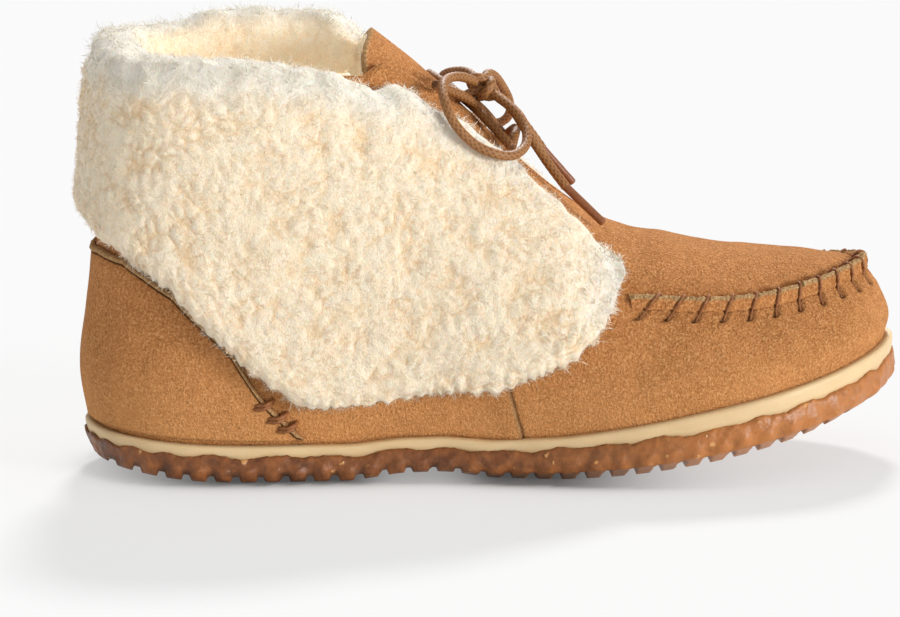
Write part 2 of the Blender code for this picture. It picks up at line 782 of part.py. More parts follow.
def smooth_route(points, gap, margin):
    """Evenly spaced points on the smooth curve through a route, from where it leaves the knot."""
    points = [Vector(v) for v in points]
    padded = [2 * points[0] - points[1]] + points + [2 * points[-1] - points[-2]]
    fine = []
    for k in range(len(points) - 1):
        fine += [blend(*padded[k : k + 4], u / 24) for u in range(24)]
    fine.append(points[-1])
    fine = [v for v in fine if outside_knot(v, margin)]
    arc = [0.0]
    for a, b in zip(fine, fine[1:]):
        arc.append(arc[-1] + (b - a).length)
    count = max(2, round(arc[-1] / gap) + 1)
    route = []
    for place in spread(0.0, arc[-1], count):
        route.append(Vector([float(np.interp(place, arc, [v[axis] for v in fine])) for axis in range(3)]))
    return route


def make_tube(name, points, diameter, look, home, gap=None, margin=LOOP_MARGIN):
    route = smooth_route(points, gap or 2.1 * diameter, margin)
    curve = bpy.data.curves.new(name, "CURVE")
    curve.dimensions = "3D"
    curve.bevel_depth = diameter / 2
    curve.bevel_resolution = 2
    curve.use_fill_caps = True
    spline = curve.splines.new("POLY")
    spline.points.add(len(route) - 1)
    for target, v in zip(spline.points, route):
        target.co = (*v, 1)
    curve.materials.append(make_material(look))
    made = bpy.data.objects.new(name, curve)
    home.objects.link(made)
    return made


def shortened(points, start, end):
    """A route that begins and stops a little late and early, so that it clears what it meets."""
    points = [Vector(v) for v in points]
    points[0] += (points[1] - points[0]).normalized() * start
    points[-1] += (points[-2] - points[-1]).normalized() * end
    return points


def make_knot(home):
    bpy.ops.mesh.primitive_uv_sphere_add(segments=14, ring_count=9, radius=1.0)
    knot = bpy.context.object
    knot.name = "lace_knot"
    knot.data.transform(Matrix.Diagonal((*KNOT_SIZE, 1)))
    knot.rotation_euler = (0, KNOT_TILT, 0)
    knot.location = KNOT
    knot.data.materials.append(make_material(LACE))
    knot.data.shade_smooth()
    for other in list(knot.users_collection):
        other.objects.unlink(knot)
    home.objects.link(knot)
    return knot


def eyelet(name, side, lift):
    station, share = EYELETS[name]
    return skin(station if side == "outer" else LOOP - station, share, lift)


def make_crossing(home):
    """The lace over the tongue as one solid: a bar between the lower eyelets, two strands that cross, and
    the two that come from the upper eyelets to the knot."""
    lift = LACE_DIAMETER / 2 + LACE_LIFT
    low_outer, low_inner = (eyelet("lower", side, lift) for side in ("outer", "inner"))
    high_outer, high_inner = (eyelet("upper", side, lift) for side in ("outer", "inner"))
    rise = Vector((0.55, 0, 1)).normalized()
    routes = [
        [low_outer, (low_outer + high_inner) / 2 + rise * CROSSING_RISE, high_inner],
        [low_inner, (low_inner + high_outer) / 2 + rise * CROSSING_RISE, high_outer],
        [low_outer, (low_outer + low_inner) / 2 + rise * BAR_RISE, low_inner],
        [high_outer, high_outer.lerp(TIE_DIP, 0.5) + rise * TIE_RISE, TIE_DIP, KNOT],
        [high_inner, high_inner.lerp(TIE_DIP, 0.5) + rise * TIE_RISE, TIE_DIP, KNOT],
    ]
    strands = []
    for k, route in enumerate(routes):
        route = [v + rise * STRAND_STEP * k for v in route[:-1]] + [route[-1]]
        tube = make_tube(f"strand_{k}", route, LACE_DIAMETER, LACE, home, 1.8 * LACE_DIAMETER, TIE_MARGIN)
        strands.append(as_mesh(tube, home))
    crossing, others = strands[0], strands[1:]
    crossing.name = "lace_crossing"
    for k, other in enumerate(others):
        join = crossing.modifiers.new(f"join_{k}", "BOOLEAN")
        join.operation = "UNION"
        join.object = other
        other.hide_render = True
        other.display_type = "WIRE"
    return crossing, others


def make_lace(home, cutters):
    crossing, helpers = make_crossing(home)
    for helper in helpers:
        home.objects.unlink(helper)
        cutters.objects.link(helper)
    make_knot(home)
    make_tube("lace_loop_near", NEAR_LOOP, LACE_DIAMETER, LACE, home)
    make_tube("lace_loop_far", FAR_LOOP, LACE_DIAMETER, LACE, home)
    make_tube("lace_end_near", NEAR_END, LACE_DIAMETER, LACE, home)
    make_tube("lace_end_far", FAR_END, LACE_DIAMETER, LACE, home)
    make_tube("aglet_near", shortened(NEAR_AGLET, CLEARANCE, 0), AGLET_DIAMETER, AGLET, home, gap=0.01)
    make_tube("aglet_far", shortened(FAR_AGLET, CLEARANCE, 0), AGLET_DIAMETER, AGLET, home, gap=0.01)


def main():
    clear_scene()
    boot = new_collection("moccasin_boot")
    cutters = new_collection("boot_cutters")
    make_outsole(boot, cutters)
    upper_columns = LOOP * UPPER_COLUMNS_PER_STATION
    layer_object("midsole", midsole_profile, upper_columns, CREAM, boot)
    layer_object("insole", insole_profile, upper_columns, FLEECE, boot)
    make_upper(boot)
    make_counter(boot)
    make_seam_bead(boot)
    make_tongue(boot)
    make_cuff(boot)
    make_lining(boot)
    make_lace(boot, cutters)
    carrier = bpy.data.objects.new("boot_origin", None)
    carrier.location = (-HEEL_TO_ORIGIN, 0, 0)
    boot.objects.link(carrier)
    for obj in list(boot.objects) + list(cutters.objects):
        if obj is not carrier:
            obj.parent = carrier
    bpy.context.view_layer.update()


main()
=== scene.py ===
"""Fine shapes, materials, floor, light and camera for a moccasin ankle boot with a fold-down fleece cuff.

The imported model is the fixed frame, in metres, toe towards +X and inner side towards +Y. The boot's surfaces
are worked out in its own coordinates, with x measured from the back of the sole, and moved into the frame at
the end.
"""

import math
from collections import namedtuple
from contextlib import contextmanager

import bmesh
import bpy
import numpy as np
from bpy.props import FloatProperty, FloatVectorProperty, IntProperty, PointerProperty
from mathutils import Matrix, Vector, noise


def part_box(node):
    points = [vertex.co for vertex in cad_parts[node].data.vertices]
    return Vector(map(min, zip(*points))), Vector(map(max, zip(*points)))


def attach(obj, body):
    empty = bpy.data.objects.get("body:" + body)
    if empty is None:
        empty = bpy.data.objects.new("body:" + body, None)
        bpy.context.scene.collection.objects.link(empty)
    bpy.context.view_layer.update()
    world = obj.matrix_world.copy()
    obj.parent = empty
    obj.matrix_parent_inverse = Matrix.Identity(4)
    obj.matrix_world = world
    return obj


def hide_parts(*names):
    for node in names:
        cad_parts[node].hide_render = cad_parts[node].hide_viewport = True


bl_info = {
    "name": "Moccasin Boot Finish",
    "version": (1, 0, 0),
    "blender": (4, 5, 0),
    "location": "View3D > Sidebar > Boot",
    "description": "Builds the suede, fleece, lace and sole of a moccasin boot, and a plain studio round it",
    "category": "Object",
}

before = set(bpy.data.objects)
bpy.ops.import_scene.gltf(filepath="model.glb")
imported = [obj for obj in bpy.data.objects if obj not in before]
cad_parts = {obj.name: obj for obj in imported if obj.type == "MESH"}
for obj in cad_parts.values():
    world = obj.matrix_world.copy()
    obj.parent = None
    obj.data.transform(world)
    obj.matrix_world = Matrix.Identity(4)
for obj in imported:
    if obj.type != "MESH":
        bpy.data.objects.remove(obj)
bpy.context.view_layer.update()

# Driving sizes, as in the part
SOLE_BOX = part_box("outsole")
LENGTH = SOLE_BOX[1].x - SOLE_BOX[0].x
HEEL_TO_ORIGIN = -SOLE_BOX[0].x
BALL_WIDTH = 0.098
SEAM_HEIGHT = 0.060
VAMP_HEIGHT = 0.0787
COLLAR_HEIGHT = 0.134

# Sole
OUTSOLE_HEEL = 0.0070
OUTSOLE_TOE = 0.0108
MIDSOLE_HEEL = 0.0050
MIDSOLE_TOE = 0.0074
TOE_SPRING = 0.0215
HEEL_RISE = 0.0045
ARCH_LIFT = 0.0019
RIM_LIP = 0.0016
RIM_WALL = 0.0014
RIM_INSET = 0.0006
RIM_WAVE = 0.00042
RIM_JAG = 0.0005
HEEL_TUCK = 0.0032
RIM_WAVELENGTH = 0.0128
LUG_PITCH = 0.0077
LUG_GAP = 0.0026
LUG_DEPTH = 0.0040
LUG_SLOPE = 0.0004
TREAD_ROW_SPACING = 0.0150
EDGE_CAMBER = 0.0030
EDGE_CAMBER_WIDTH = 0.0104

# Upper and what is fitted to it
UPPER_WALL = 0.0022
FEATHER_INSET = 0.0034
CLEARANCE = 0.0004
FLEECE_CLEARANCE = 0.0008
SEAT_GAP = 0.0005
COUNTER_WALL = 0.0011
COUNTER_BEAD = 0.0017
SEAM_BEAD_WIDTH = 0.0034
SEAM_BEAD_HEIGHT = 0.0030
STITCH_PITCH = 0.0082
TONGUE_WALL = 0.0024
TONGUE_RISE = 0.0045
INSOLE_HEIGHT = 0.0050

# Fleece
CUFF_THICKNESS = 0.0086
CUFF_LOCK = 0.0011
LINING_THICKNESS = 0.0080
ROLL_RISE = 0.0058
CUFF_TUFTS = 0.013

# Lace
LACE_LIFT = 0.0022
CROSSING_RISE = 0.0016
BAR_RISE = 0.0046
TIE_RISE = 0.0004
KNOT_SIZE = (0.0056, 0.0048, 0.0042)
KNOT_TILT = math.radians(35)
LACE_STEP = 0.00035

# One row a station, evenly spaced round each side from the back of the heel to the tip of the toe. Every x is
# a share of LENGTH from the heel and every width a share of BALL_WIDTH from the middle line, outer side
# (lateral) and inner side (medial). foot is the sole's outline, seam the line of the moccasin seam carried on
# round the heel at ankle height, and top the collar, then the throat's edge, then the closed vamp's ridge.
Section = namedtuple(
    "Section",
    "foot_x foot_lat foot_med seam_x seam_lat seam_med seam_z top_x top_lat top_med rise vamp crown",
)
SECTIONS = [
    Section(0.000, 0.000, 0.000, 0.017, 0.000, 0.000, 1.03, 0.041, 0.000, 0.000, 0.91, 1.00, 0.000),
    Section(0.013, 0.158, 0.158, 0.026, 0.148, 0.148, 1.03, 0.050, 0.133, 0.133, 0.93, 1.00, 0.000),
    Section(0.046, 0.265, 0.265, 0.055, 0.250, 0.250, 1.03, 0.073, 0.235, 0.235, 0.97, 1.00, 0.000),
    Section(0.107, 0.337, 0.337, 0.111, 0.316, 0.316, 1.03, 0.119, 0.301, 0.301, 1.00, 1.00, 0.000),
    Section(0.198, 0.357, 0.352, 0.198, 0.342, 0.337, 1.03, 0.195, 0.321, 0.321, 1.01, 1.00, 0.000),
    Section(0.305, 0.352, 0.327, 0.298, 0.347, 0.321, 1.03, 0.276, 0.298, 0.298, 1.00, 1.00, 0.006),
    Section(0.405, 0.362, 0.301, 0.389, 0.352, 0.306, 1.02, 0.346, 0.214, 0.214, 0.96, 1.00, 0.025),
    Section(0.500, 0.403, 0.321, 0.481, 0.367, 0.316, 1.00, 0.430, 0.122, 0.122, 0.75, 1.00, 0.046),
    Section(0.592, 0.454, 0.388, 0.569, 0.378, 0.347, 0.985, 0.527, 0.092, 0.092, 0.34, 1.00, 0.050),
    Section(0.679, 0.490, 0.459, 0.653, 0.367, 0.367, 0.960, 0.626, 0.000, 0.000, 0.00, 1.00, 0.052),
    Section(0.775, 0.485, 0.485, 0.740, 0.342, 0.362, 0.925, 0.702, -0.020, 0.020, 0.00, 0.925, 0.046),
    Section(0.855, 0.423, 0.459, 0.814, 0.291, 0.337, 0.930, 0.769, -0.036, 0.036, 0.00, 0.882, 0.040),
    Section(0.927, 0.296, 0.388, 0.878, 0.199, 0.276, 0.970, 0.818, -0.046, 0.046, 0.00, 0.860, 0.030),
    Section(0.975, 0.133, 0.276, 0.925, 0.077, 0.189, 1.010, 0.850, -0.056, 0.056, 0.00, 0.847, 0.018),
    Section(1.000, -0.092, 0.092, 0.953, -0.071, 0.071, 1.035, 0.868, -0.061, 0.061, 0.00, 0.840, 0.008),
]
TOE = len(SECTIONS) - 1
LOOP = 2 * TOE
COLLAR_FRONT = 6
VAMP_POINT = 9

# Swell of the wall between the sole and the seam: how high on that stretch it lies, and how far it stands out
SWELL_UP = 0.38
SWELL_IN = 0.22
SWELL_OUT = 0.026

# Where the sole lies flat on the floor, as shares of LENGTH, and how the toe spring curves up
HEEL_FLAT = 0.200
ARCH_START = 0.31
ARCH_END = 0.50
TOE_FLAT = 0.56
TOE_CURVE = 1.55

# Top edge of the heel counter: station, and height as a share of the section from the sole (0) to the top
COUNTER_EDGE = [
    (0.0, 0.575),
    (1.0, 0.581),
    (2.0, 0.565),
    (2.5, 0.533),
    (3.0, 0.493),
    (3.65, 0.385),
    (3.8, 0.354),
    (4.0, 0.282),
    (4.2, 0.203),
    (4.35, 0.147),
    (4.62, 0.028),
]

# The folded cuff: station, lower edge and upper edge, as shares of the section
CUFF_EDGES = [
    (0.0, 0.660, 1.0),
    (1.0, 0.640, 1.0),
    (2.0, 0.590, 1.0),
    (3.0, 0.505, 1.0),
    (4.0, 0.310, 1.0),
    (4.6, 0.190, 1.0),
    (5.3, 0.190, 0.990),
    (6.0, 0.216, 0.945),
    (6.5, 0.232, 0.920),
    (7.0, 0.242, 0.898),
    (7.6, 0.285, 0.862),
    (8.0, 0.315, 0.800),
    (8.4, 0.375, 0.725),
    (8.7, 0.460, 0.685),
    (8.85, 0.520, 0.665),
    (8.95, 0.570, 0.630),
]
CUFF_FRONT = CUFF_EDGES[-1][0]
LINING_FRONT = 5.5
LINING_LOW = 0.68
SEAM_START = 8.98
TONGUE_START = 9.5
TONGUE_END = 6.2
TONGUE_EDGE = 0.80
TONGUE_CROWN = 0.50
EYELETS = {"upper": (6.85, 0.985), "lower": (7.8, 0.975)}

# The collar sags on the outer side: loop position, and how much lower it lies as a share of the section
COLLAR_DIP = [(1.5, 0.0), (2.6, 0.010), (4.1, 0.028), (5.5, 0.046), (5.85, 0.044), (6.2, 0.0)]

# The fleece stands up over the collar's edge: loop position, negative on the inner side, share of ROLL_RISE
ROLL_HEIGHTS = [
    (-6.6, 0.40),
    (-6.0, 0.95),
    (-5.4, 1.35),
    (-4.0, 1.30),
    (-3.5, 1.20),
    (-3.1, 0.65),
    (-2.4, 0.70),
    (-1.6, 1.15),
    (-0.8, 1.50),
    (0.2, 1.50),
    (0.9, 0.95),
    (1.6, 0.50),
    (2.2, 0.22),
    (5.6, 0.15),
]

# The quarter's front edge laps over the vamp: its loop position at the sole and at the cuff
QUARTER_SEAM = (7.24, 7.10)

# Soft creases of the suede: loop station and share of the section at both ends, half width, and how far the
# trough (negative) or ridge (positive) stands out
Crease = namedtuple("Crease", "start_p start_t end_p end_t half_width height")
CREASES = [
    Crease(9.0, 0.62, 9.7, 0.96, 0.0045, -0.0009),
    Crease(9.6, 0.60, 10.1, 0.92, 0.0040, 0.0006),
    Crease(8.6, 0.20, 9.4, 0.40, 0.0050, -0.0006),
    Crease(10.3, 0.62, 11.2, 0.85, 0.0070, -0.0005),
    Crease(10.4, 0.30, 11.6, 0.28, 0.0060, 0.0005),
    Crease(5.0, 0.12, 6.6, 0.13, 0.0040, 0.0004),
    Crease(2.2, 0.25, 2.9, 0.42, 0.0060, -0.0006),
    Crease(0.9, 0.20, 0.7, 0.48, 0.0070, 0.0005),
]

# Lace. The route's points are in the boot's own coordinates, in metres.
KNOT = (0.1275, -0.0015, 0.1203)
TIE_DIP = (KNOT[0] - 0.0062, KNOT[1], KNOT[2] - 0.0034)
NEAR_LOOP = [
    KNOT,
    (0.1232, -0.0062, 0.1231),
    (0.1190, -0.0110, 0.1246),
    (0.1153, -0.0165, 0.1245),
    (0.1134, -0.0238, 0.1230),
    (0.1138, -0.0308, 0.1184),
    (0.1168, -0.0336, 0.1122),
    (0.1222, -0.0342, 0.1066),
    (0.1285, -0.0338, 0.1034),
    (0.1346, -0.0306, 0.1023),
    (0.1392, -0.0235, 0.1044),
    (0.1398, -0.0165, 0.1090),
    (0.1366, -0.0104, 0.1140),
    KNOT,
]
FAR_LOOP = [
    KNOT,
    (0.1294, 0.0046, 0.1234),
    (0.1322, 0.0100, 0.1222),
    (0.1350, 0.0155, 0.1184),
    (0.1376, 0.0208, 0.1134),
    (0.1384, 0.0254, 0.1084),
    (0.1358, 0.0288, 0.1050),
    (0.1308, 0.0306, 0.1048),
    (0.1250, 0.0314, 0.1072),
    (0.1200, 0.0306, 0.1122),
    (0.1166, 0.0272, 0.1176),
    (0.1168, 0.0206, 0.1214),
    (0.1200, 0.0132, 0.1234),
    (0.1238, 0.0066, 0.1236),
    KNOT,
]
NEAR_END = [
    KNOT,
    (0.1360, -0.0030, 0.1140),
    (0.1412, -0.0060, 0.1064),
    (0.1476, -0.0096, 0.0968),
    (0.1530, -0.0126, 0.0896),
]
FAR_END = [
    KNOT,
    (0.1354, 0.0028, 0.1146),
    (0.1414, 0.0048, 0.1074),
    (0.1472, 0.0060, 0.0994),
]
NEAR_AGLET = [NEAR_END[-1], (0.1644, -0.0178, 0.0788)]
FAR_AGLET = [FAR_END[-1], (0.1572, 0.0072, 0.0880)]


def linear(red, green, blue):
    """A colour given in the usual 0 to 255 steps, as Blender's linear values."""
    shares = [channel / 255 for channel in (red, green, blue)]
    return tuple(c / 12.92 if c <= 0.04045 else ((c + 0.055) / 1.055) ** 2.4 for c in shares)


class BootSizes(bpy.types.PropertyGroup):
    """Sizes of the finish that a user may change."""

    curl_size: FloatProperty(
        name="Curl size", description="Width of one curl of the fleece", default=0.0044, unit="LENGTH"
    )
    curl_height: FloatProperty(
        name="Curl height", description="Depth of the creases between curls", default=0.0018, unit="LENGTH"
    )
    fibre_length: FloatProperty(
        name="Fibre length", description="Length of a single wool fibre", default=0.0033, unit="LENGTH"
    )
    fibre_width: FloatProperty(
        name="Fibre width", description="Width of a single wool fibre", default=0.00017, unit="LENGTH"
    )
    cuff_fibres: IntProperty(
        name="Cuff fibres", description="Fibres in each of the cuff's layers of wool", default=48000
    )
    lining_fibres: IntProperty(
        name="Lining fibres", description="Fibres on the collar's lining", default=32000
    )
    tongue_fibres: IntProperty(
        name="Tongue fibres", description="Fibres on the tongue's fleece", default=12000
    )
    lace_diameter: FloatProperty(
        name="Lace diameter", description="Diameter of the round lace", default=0.0030, unit="LENGTH"
    )
    aglet_diameter: FloatProperty(
        name="Tip diameter", description="Diameter of the lace's tips", default=0.0026, unit="LENGTH"
    )
    thread_diameter: FloatProperty(
        name="Thread diameter", description="Diameter of the seam's thread", default=0.0010, unit="LENGTH"
    )
    stitch_reach: FloatProperty(
        name="Stitch reach", description="How far down a stitch starts", default=0.0062, unit="LENGTH"
    )
    stitch_lean: FloatProperty(
        name="Stitch lean", description="Lean of a stitch beside the throat", default=0.0074, unit="LENGTH"
    )


def colour_property(name, description, shade):
    """A colour in the sidebar, with its default given in 0 to 255 steps."""
    shade = linear(*shade)
    return FloatVectorProperty(
        name=name, description=description, default=shade, subtype="COLOR", size=3, min=0.0, max=1.0
    )


class BootColours(bpy.types.PropertyGroup):
    """Colours that a user may change."""

    suede: colour_property("Suede", "Main colour of the suede", (205, 140, 85))
    suede_dark: colour_property("Suede shade", "Suede where the nap is brushed down", (140, 87, 45))
    suede_raw: colour_property("Raw edge", "Cut edge of the suede", (224, 184, 132))
    fleece: colour_property("Fleece", "Fleece on top of the curls", (252, 236, 211))
    # Also painted shade: this colour fills the creases between the curls.
    fleece_root_and_shade: colour_property("Fleece roots", "Fleece between the curls", (240, 208, 160))
    fleece_edge: colour_property("Fleece edge", "Longer and paler pile along the edges", (240, 236, 224))
    gum: colour_property("Gum rubber", "Main colour of the outsole", (92, 50, 22))
    gum_light: colour_property("Gum rubber streaks", "Lighter streaks in the outsole", (150, 90, 43))
    cream: colour_property("Cream rubber", "Colour of the midsole", (219, 190, 144))
    lace: colour_property("Lace", "Main colour of the lace", (158, 106, 55))
    # Painted shade: this colour darkens the lace between its strands.
    lace_dark: colour_property("Lace shade", "Colour between the lace's strands", (88, 52, 24))
    thread: colour_property("Thread", "Seam thread", (132, 72, 34))
    aglet: colour_property("Lace tip", "Sleeve on the lace's tip", (142, 86, 50))


# Curves and surfaces of the last, for arrays of positions at once


def unit(vectors):
    """Vectors scaled to a length of one."""
    return vectors / np.maximum(np.linalg.norm(vectors, axis=-1, keepdims=True), 1e-12)


def blend(a, b, c, d, u):
    """Catmull-Rom between b and c."""
    return 0.5 * (
        2 * b + (c - a) * u + (2 * a - 5 * b + 4 * c - d) * u * u + (3 * b - a - 3 * c + d) * u ** 3
    )


def rail_at(rail, p):
    """Points at loop positions p of a closed rail: 0 is the heel, TOE the toe, and it comes back inside."""
    i = np.floor(p).astype(int)
    return blend(*(rail[(i + k) % len(rail)] for k in (-1, 0, 1, 2)), (p - i)[..., None])


def ramp(x, start, end):
    """0 before start and 1 after end, with a soft change between them."""
    u = np.clip((np.asarray(x, float) - start) / (end - start), 0, 1)
    return u * u * (3 - 2 * u)


def table_value(rows, x, column):
    """A column of a table, read between its rows along its first column."""
    return np.interp(x, [row[0] for row in rows], [row[column] for row in rows])


def station_of(p):
    """The station, 0 at the heel and TOE at the toe, of loop positions on either side."""
    p = np.asarray(p, float) % LOOP
    return np.minimum(p, LOOP - p)


def sole_bottom(x):
    """Height of the sole's underside: flat at heel and ball, raised at the back, the arch and the toe."""
    share = x / LENGTH
    back = np.maximum(0.0, 1 - share / HEEL_FLAT) ** 2 * HEEL_RISE
    arch = ramp(share, ARCH_START, ARCH_START + 0.08) * (1 - ramp(share, ARCH_END - 0.08, ARCH_END))
    toe = np.maximum(0.0, (share - TOE_FLAT) / (1 - TOE_FLAT)) ** TOE_CURVE
    return back + arch * ARCH_LIFT + toe * TOE_SPRING


def outsole_top(x):
    return sole_bottom(x) + OUTSOLE_HEEL + (OUTSOLE_TOE - OUTSOLE_HEEL) * ramp(x / LENGTH, 0.36, 0.66)


def midsole_top(x):
    return outsole_top(x) + MIDSOLE_HEEL + (MIDSOLE_TOE - MIDSOLE_HEEL) * ramp(x / LENGTH, 0.55, 0.78)


def both_sides(outer, inner):
    """One closed rail from the stations of the outer side and of the inner side."""
    return np.concatenate([outer, inner[-2:0:-1]])


def column(name):
    """One named column of the table of sections."""
    return np.array([getattr(s, name) for s in SECTIONS])


def plan_rail():
    x, level = column("foot_x") * LENGTH, np.zeros(TOE + 1)
    outer = np.stack([x, -column("foot_lat") * BALL_WIDTH, level], -1)
    inner = np.stack([x, column("foot_med") * BALL_WIDTH, level], -1)
    return both_sides(outer, inner)


PLAN = plan_rail()


def plan_point(p, inset=0.0):
    """Points of the sole's outline, moved in by inset."""
    p = np.asarray(p, float)
    step = 0.02
    along = unit(rail_at(PLAN, p + step) - rail_at(PLAN, p - step))
    inwards = np.stack([-along[..., 1], along[..., 0], np.zeros_like(p)], -1)
    return rail_at(PLAN, p) + inwards * np.asarray(inset)[..., None]


def side_rails(sign):
    """Foot, swell, seam, crown and top points of one side, sign -1 for the outer one."""
    side = "lat" if sign < 0 else "med"
    p = np.arange(TOE + 1.0) if sign < 0 else LOOP - np.arange(TOE + 1.0)
    foot = plan_point(p, FEATHER_INSET)
    foot[:, 2] = midsole_top(foot[:, 0]) + SEAT_GAP
    seam_y = sign * column("seam_" + side) * BALL_WIDTH
    seam = np.stack([column("seam_x") * LENGTH, seam_y, column("seam_z") * SEAM_HEIGHT], -1)
    top_y = sign * column("top_" + side) * BALL_WIDTH
    top_z = column("vamp") * VAMP_HEIGHT + column("rise") * (COLLAR_HEIGHT - VAMP_HEIGHT)
    top = np.stack([column("top_x") * LENGTH, top_y, top_z], -1)
    outwards = unit(plan_point(p) - plan_point(p, 1.0))
    swell = foot + (seam - foot) * SWELL_IN + outwards * SWELL_OUT * BALL_WIDTH
    swell[:, 2] = foot[:, 2] + SWELL_UP * (seam[:, 2] - foot[:, 2])
    crown = (seam + top) / 2
    core_x = np.clip(crown[:, 0], 0.19 * LENGTH, 0.85 * LENGTH)
    core = np.stack([core_x, np.zeros(TOE + 1), np.full(TOE + 1, 0.8 * SEAM_HEIGHT)], -1)
    lift, rise = crown - core, unit(top - seam)
    lift -= rise * (lift * rise).sum(-1, keepdims=True)
    crown = crown + unit(lift) * (column("crown") * BALL_WIDTH)[:, None]
    return {"foot": foot, "swell": swell, "seam": seam, "crown": crown, "top": top}


def all_rails():
    outer, inner = side_rails(-1), side_rails(1)
    return {name: both_sides(outer[name], inner[name]) for name in outer}


RAILS = all_rails()


def rail_point(name, p):
    points = rail_at(RAILS[name], p)
    if name == "foot":
        points[..., 2] = midsole_top(points[..., 0]) + SEAT_GAP
    if name == "top":
        joined = (points + rail_at(RAILS[name], LOOP - p)) / 2
        points = np.where((station_of(p) >= VAMP_POINT)[..., None], joined, points)
    return points


def surface(p, t):
    """The outer face of the upper: p goes round the boot, t from the sole (0) to the top edge (1)."""
    p, t = np.broadcast_arrays(np.asarray(p, float), np.asarray(t, float))
    t = t - table_value(COLLAR_DIP, p % LOOP, 1) * ramp(t, 0.6, 1.0)
    foot, swell, seam, crown, top = (rail_point(name, p) for name in RAILS)
    closed = (station_of(p) >= VAMP_POINT)[..., None]
    beyond = np.where(closed, rail_point("crown", LOOP - p), 2 * top - crown)
    points = np.stack([2 * foot - swell, foot, swell, seam, crown, top, beyond])
    k = np.clip(np.floor(t * 4).astype(int), 0, 3)
    picked = [np.take_along_axis(points, (k + j)[None, ..., None], 0)[0] for j in range(4)]
    return blend(*picked, (t * 4 - k)[..., None])


def frame_at(p, t):
    """Points, outward normals and upward directions along the surface."""
    dp, dt = 0.05, 0.02
    p, t = np.broadcast_arrays(np.asarray(p, float), np.asarray(t, float))
    tc = np.clip(t, 0.03, 0.97)
    along = surface(p + dp, tc) - surface(p - dp, tc)
    up = surface(p, tc + dt) - surface(p, tc - dt)
    return surface(p, t), unit(np.cross(along, up)), unit(up)


def skin(p, t, lift):
    """Points of the surface moved out by lift, or in where lift is negative."""
    points, normals, _ = frame_at(p, t)
    return points + normals * np.asarray(lift)[..., None]


def rise_speed(p, t):
    """Metres that the surface rises along its section for each unit of t."""
    return np.linalg.norm(surface(p, t + 0.02) - surface(p, t - 0.02), axis=-1) / 0.04


def spread(start, end, count):
    return np.linspace(start, end, count)


# Noise over arrays of points


def noise_at(points, size, shift=0.0):
    """Smooth noise from -1 to 1 with features of that size."""
    places = (np.asarray(points).reshape(-1, 3) / size + shift).tolist()
    values = np.fromiter((noise.noise(v) for v in places), float, len(places))
    return values.reshape(np.shape(points)[:-1])


def cells_at(points, size, shift=0.0):
    """How far each point is inside its cell: 0 on the crease between two cells, up to 1 in the middle."""
    places = (np.asarray(points).reshape(-1, 3) / size + shift).tolist()
    near = np.array([noise.voronoi(v)[0][:2] for v in places])
    return np.clip(near[:, 1] - near[:, 0], 0, 1).reshape(np.shape(points)[:-1])


def warped(points, size, amount):
    """Points shifted by noise, so that a pattern laid on them loses its regularity."""
    shifts = [noise_at(points, size, shift) for shift in (3.1, 17.7, 41.3)]
    return points + amount * np.stack(shifts, -1)


# Making pieces


def grid_faces(rows, columns, closed_rows=False, closed_columns=False):
    """Quads of a grid whose points are numbered row by row."""
    r = np.arange(rows if closed_rows else rows - 1)[:, None]
    c = np.arange(columns if closed_columns else columns - 1)[None, :]
    above, beside = (r + 1) % rows, (c + 1) % columns
    corners = (r * columns + c, r * columns + beside, above * columns + beside, above * columns + c)
    return np.stack(corners, -1).reshape(-1, 4)


def grid_normals(points, closed_rows=False, closed_columns=False):
    """Normals of a grid of points, to the side that its rows and columns give."""

    def slope(axis, closed):
        if closed:
            return np.roll(points, -1, axis) - np.roll(points, 1, axis)
        return np.gradient(points, axis=axis)

    return unit(np.cross(slope(1, closed_columns), slope(0, closed_rows)))


def new_mesh(name, points, faces, fields=None):
    """A mesh in the frame's coordinates from points in the boot's own, with fields of a value a point."""
    mesh = bpy.data.meshes.new(name)
    places = np.asarray(points, float).reshape(-1, 3) - (HEEL_TO_ORIGIN, 0, 0)
    mesh.vertices.add(len(places))
    mesh.vertices.foreach_set("co", places.astype(np.float32).ravel())
    count, size = faces.shape
    mesh.loops.add(count * size)
    mesh.loops.foreach_set("vertex_index", faces.astype(np.int32).ravel())
    mesh.polygons.add(count)
    mesh.polygons.foreach_set("loop_start", np.arange(0, count * size, size, dtype=np.int32))
    mesh.update(calc_edges=True)
    for field, values in (fields or {}).items():
        layer = mesh.attributes.new(field, "FLOAT", "POINT")
        layer.data.foreach_set("value", np.asarray(values, np.float32).ravel())
    return mesh


@contextmanager
def reworked(mesh):
    """A mesh opened for editing, and put back when that is done."""
    work = bmesh.new()
    work.from_mesh(mesh)
    work.verts.ensure_lookup_table()
    yield work
    work.to_mesh(mesh)
    work.free()


def welded_mesh(name, points, faces, fields=None, distance=1e-6):
    """A mesh whose points that lie on each other are joined, without the faces that this leaves empty."""
    mesh = new_mesh(name, points, faces, fields)
    with reworked(mesh) as work:
        bmesh.ops.remove_doubles(work, verts=work.verts, dist=distance)
        bmesh.ops.dissolve_degenerate(work, edges=work.edges, dist=distance)
    return mesh


def face_outwards(mesh):
    with reworked(mesh) as work:
        bmesh.ops.recalc_face_normals(work, faces=work.faces)


def close_ends(mesh, rows, columns):
    """Closes a grid that is joined into a tube along its rows with a face at its first and last column."""
    with reworked(mesh) as work:
        for start, order in ((0, 1), (columns - 1, -1)):
            ring = [work.verts[start + r * columns] for r in range(rows)]
            work.faces.new(ring[::order])
    face_outwards(mesh)


def add_piece(name, mesh, material, slot, *nodes):
    """An object that rides on the boot, takes a material and stands for the nodes named."""
    mesh.shade_smooth()
    mesh.materials.append(material)
    piece = bpy.data.objects.new(name, mesh)
    bpy.context.scene.collection.objects.link(piece)
    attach(piece, "root")
    if nodes:
        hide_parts(*nodes)
    return piece


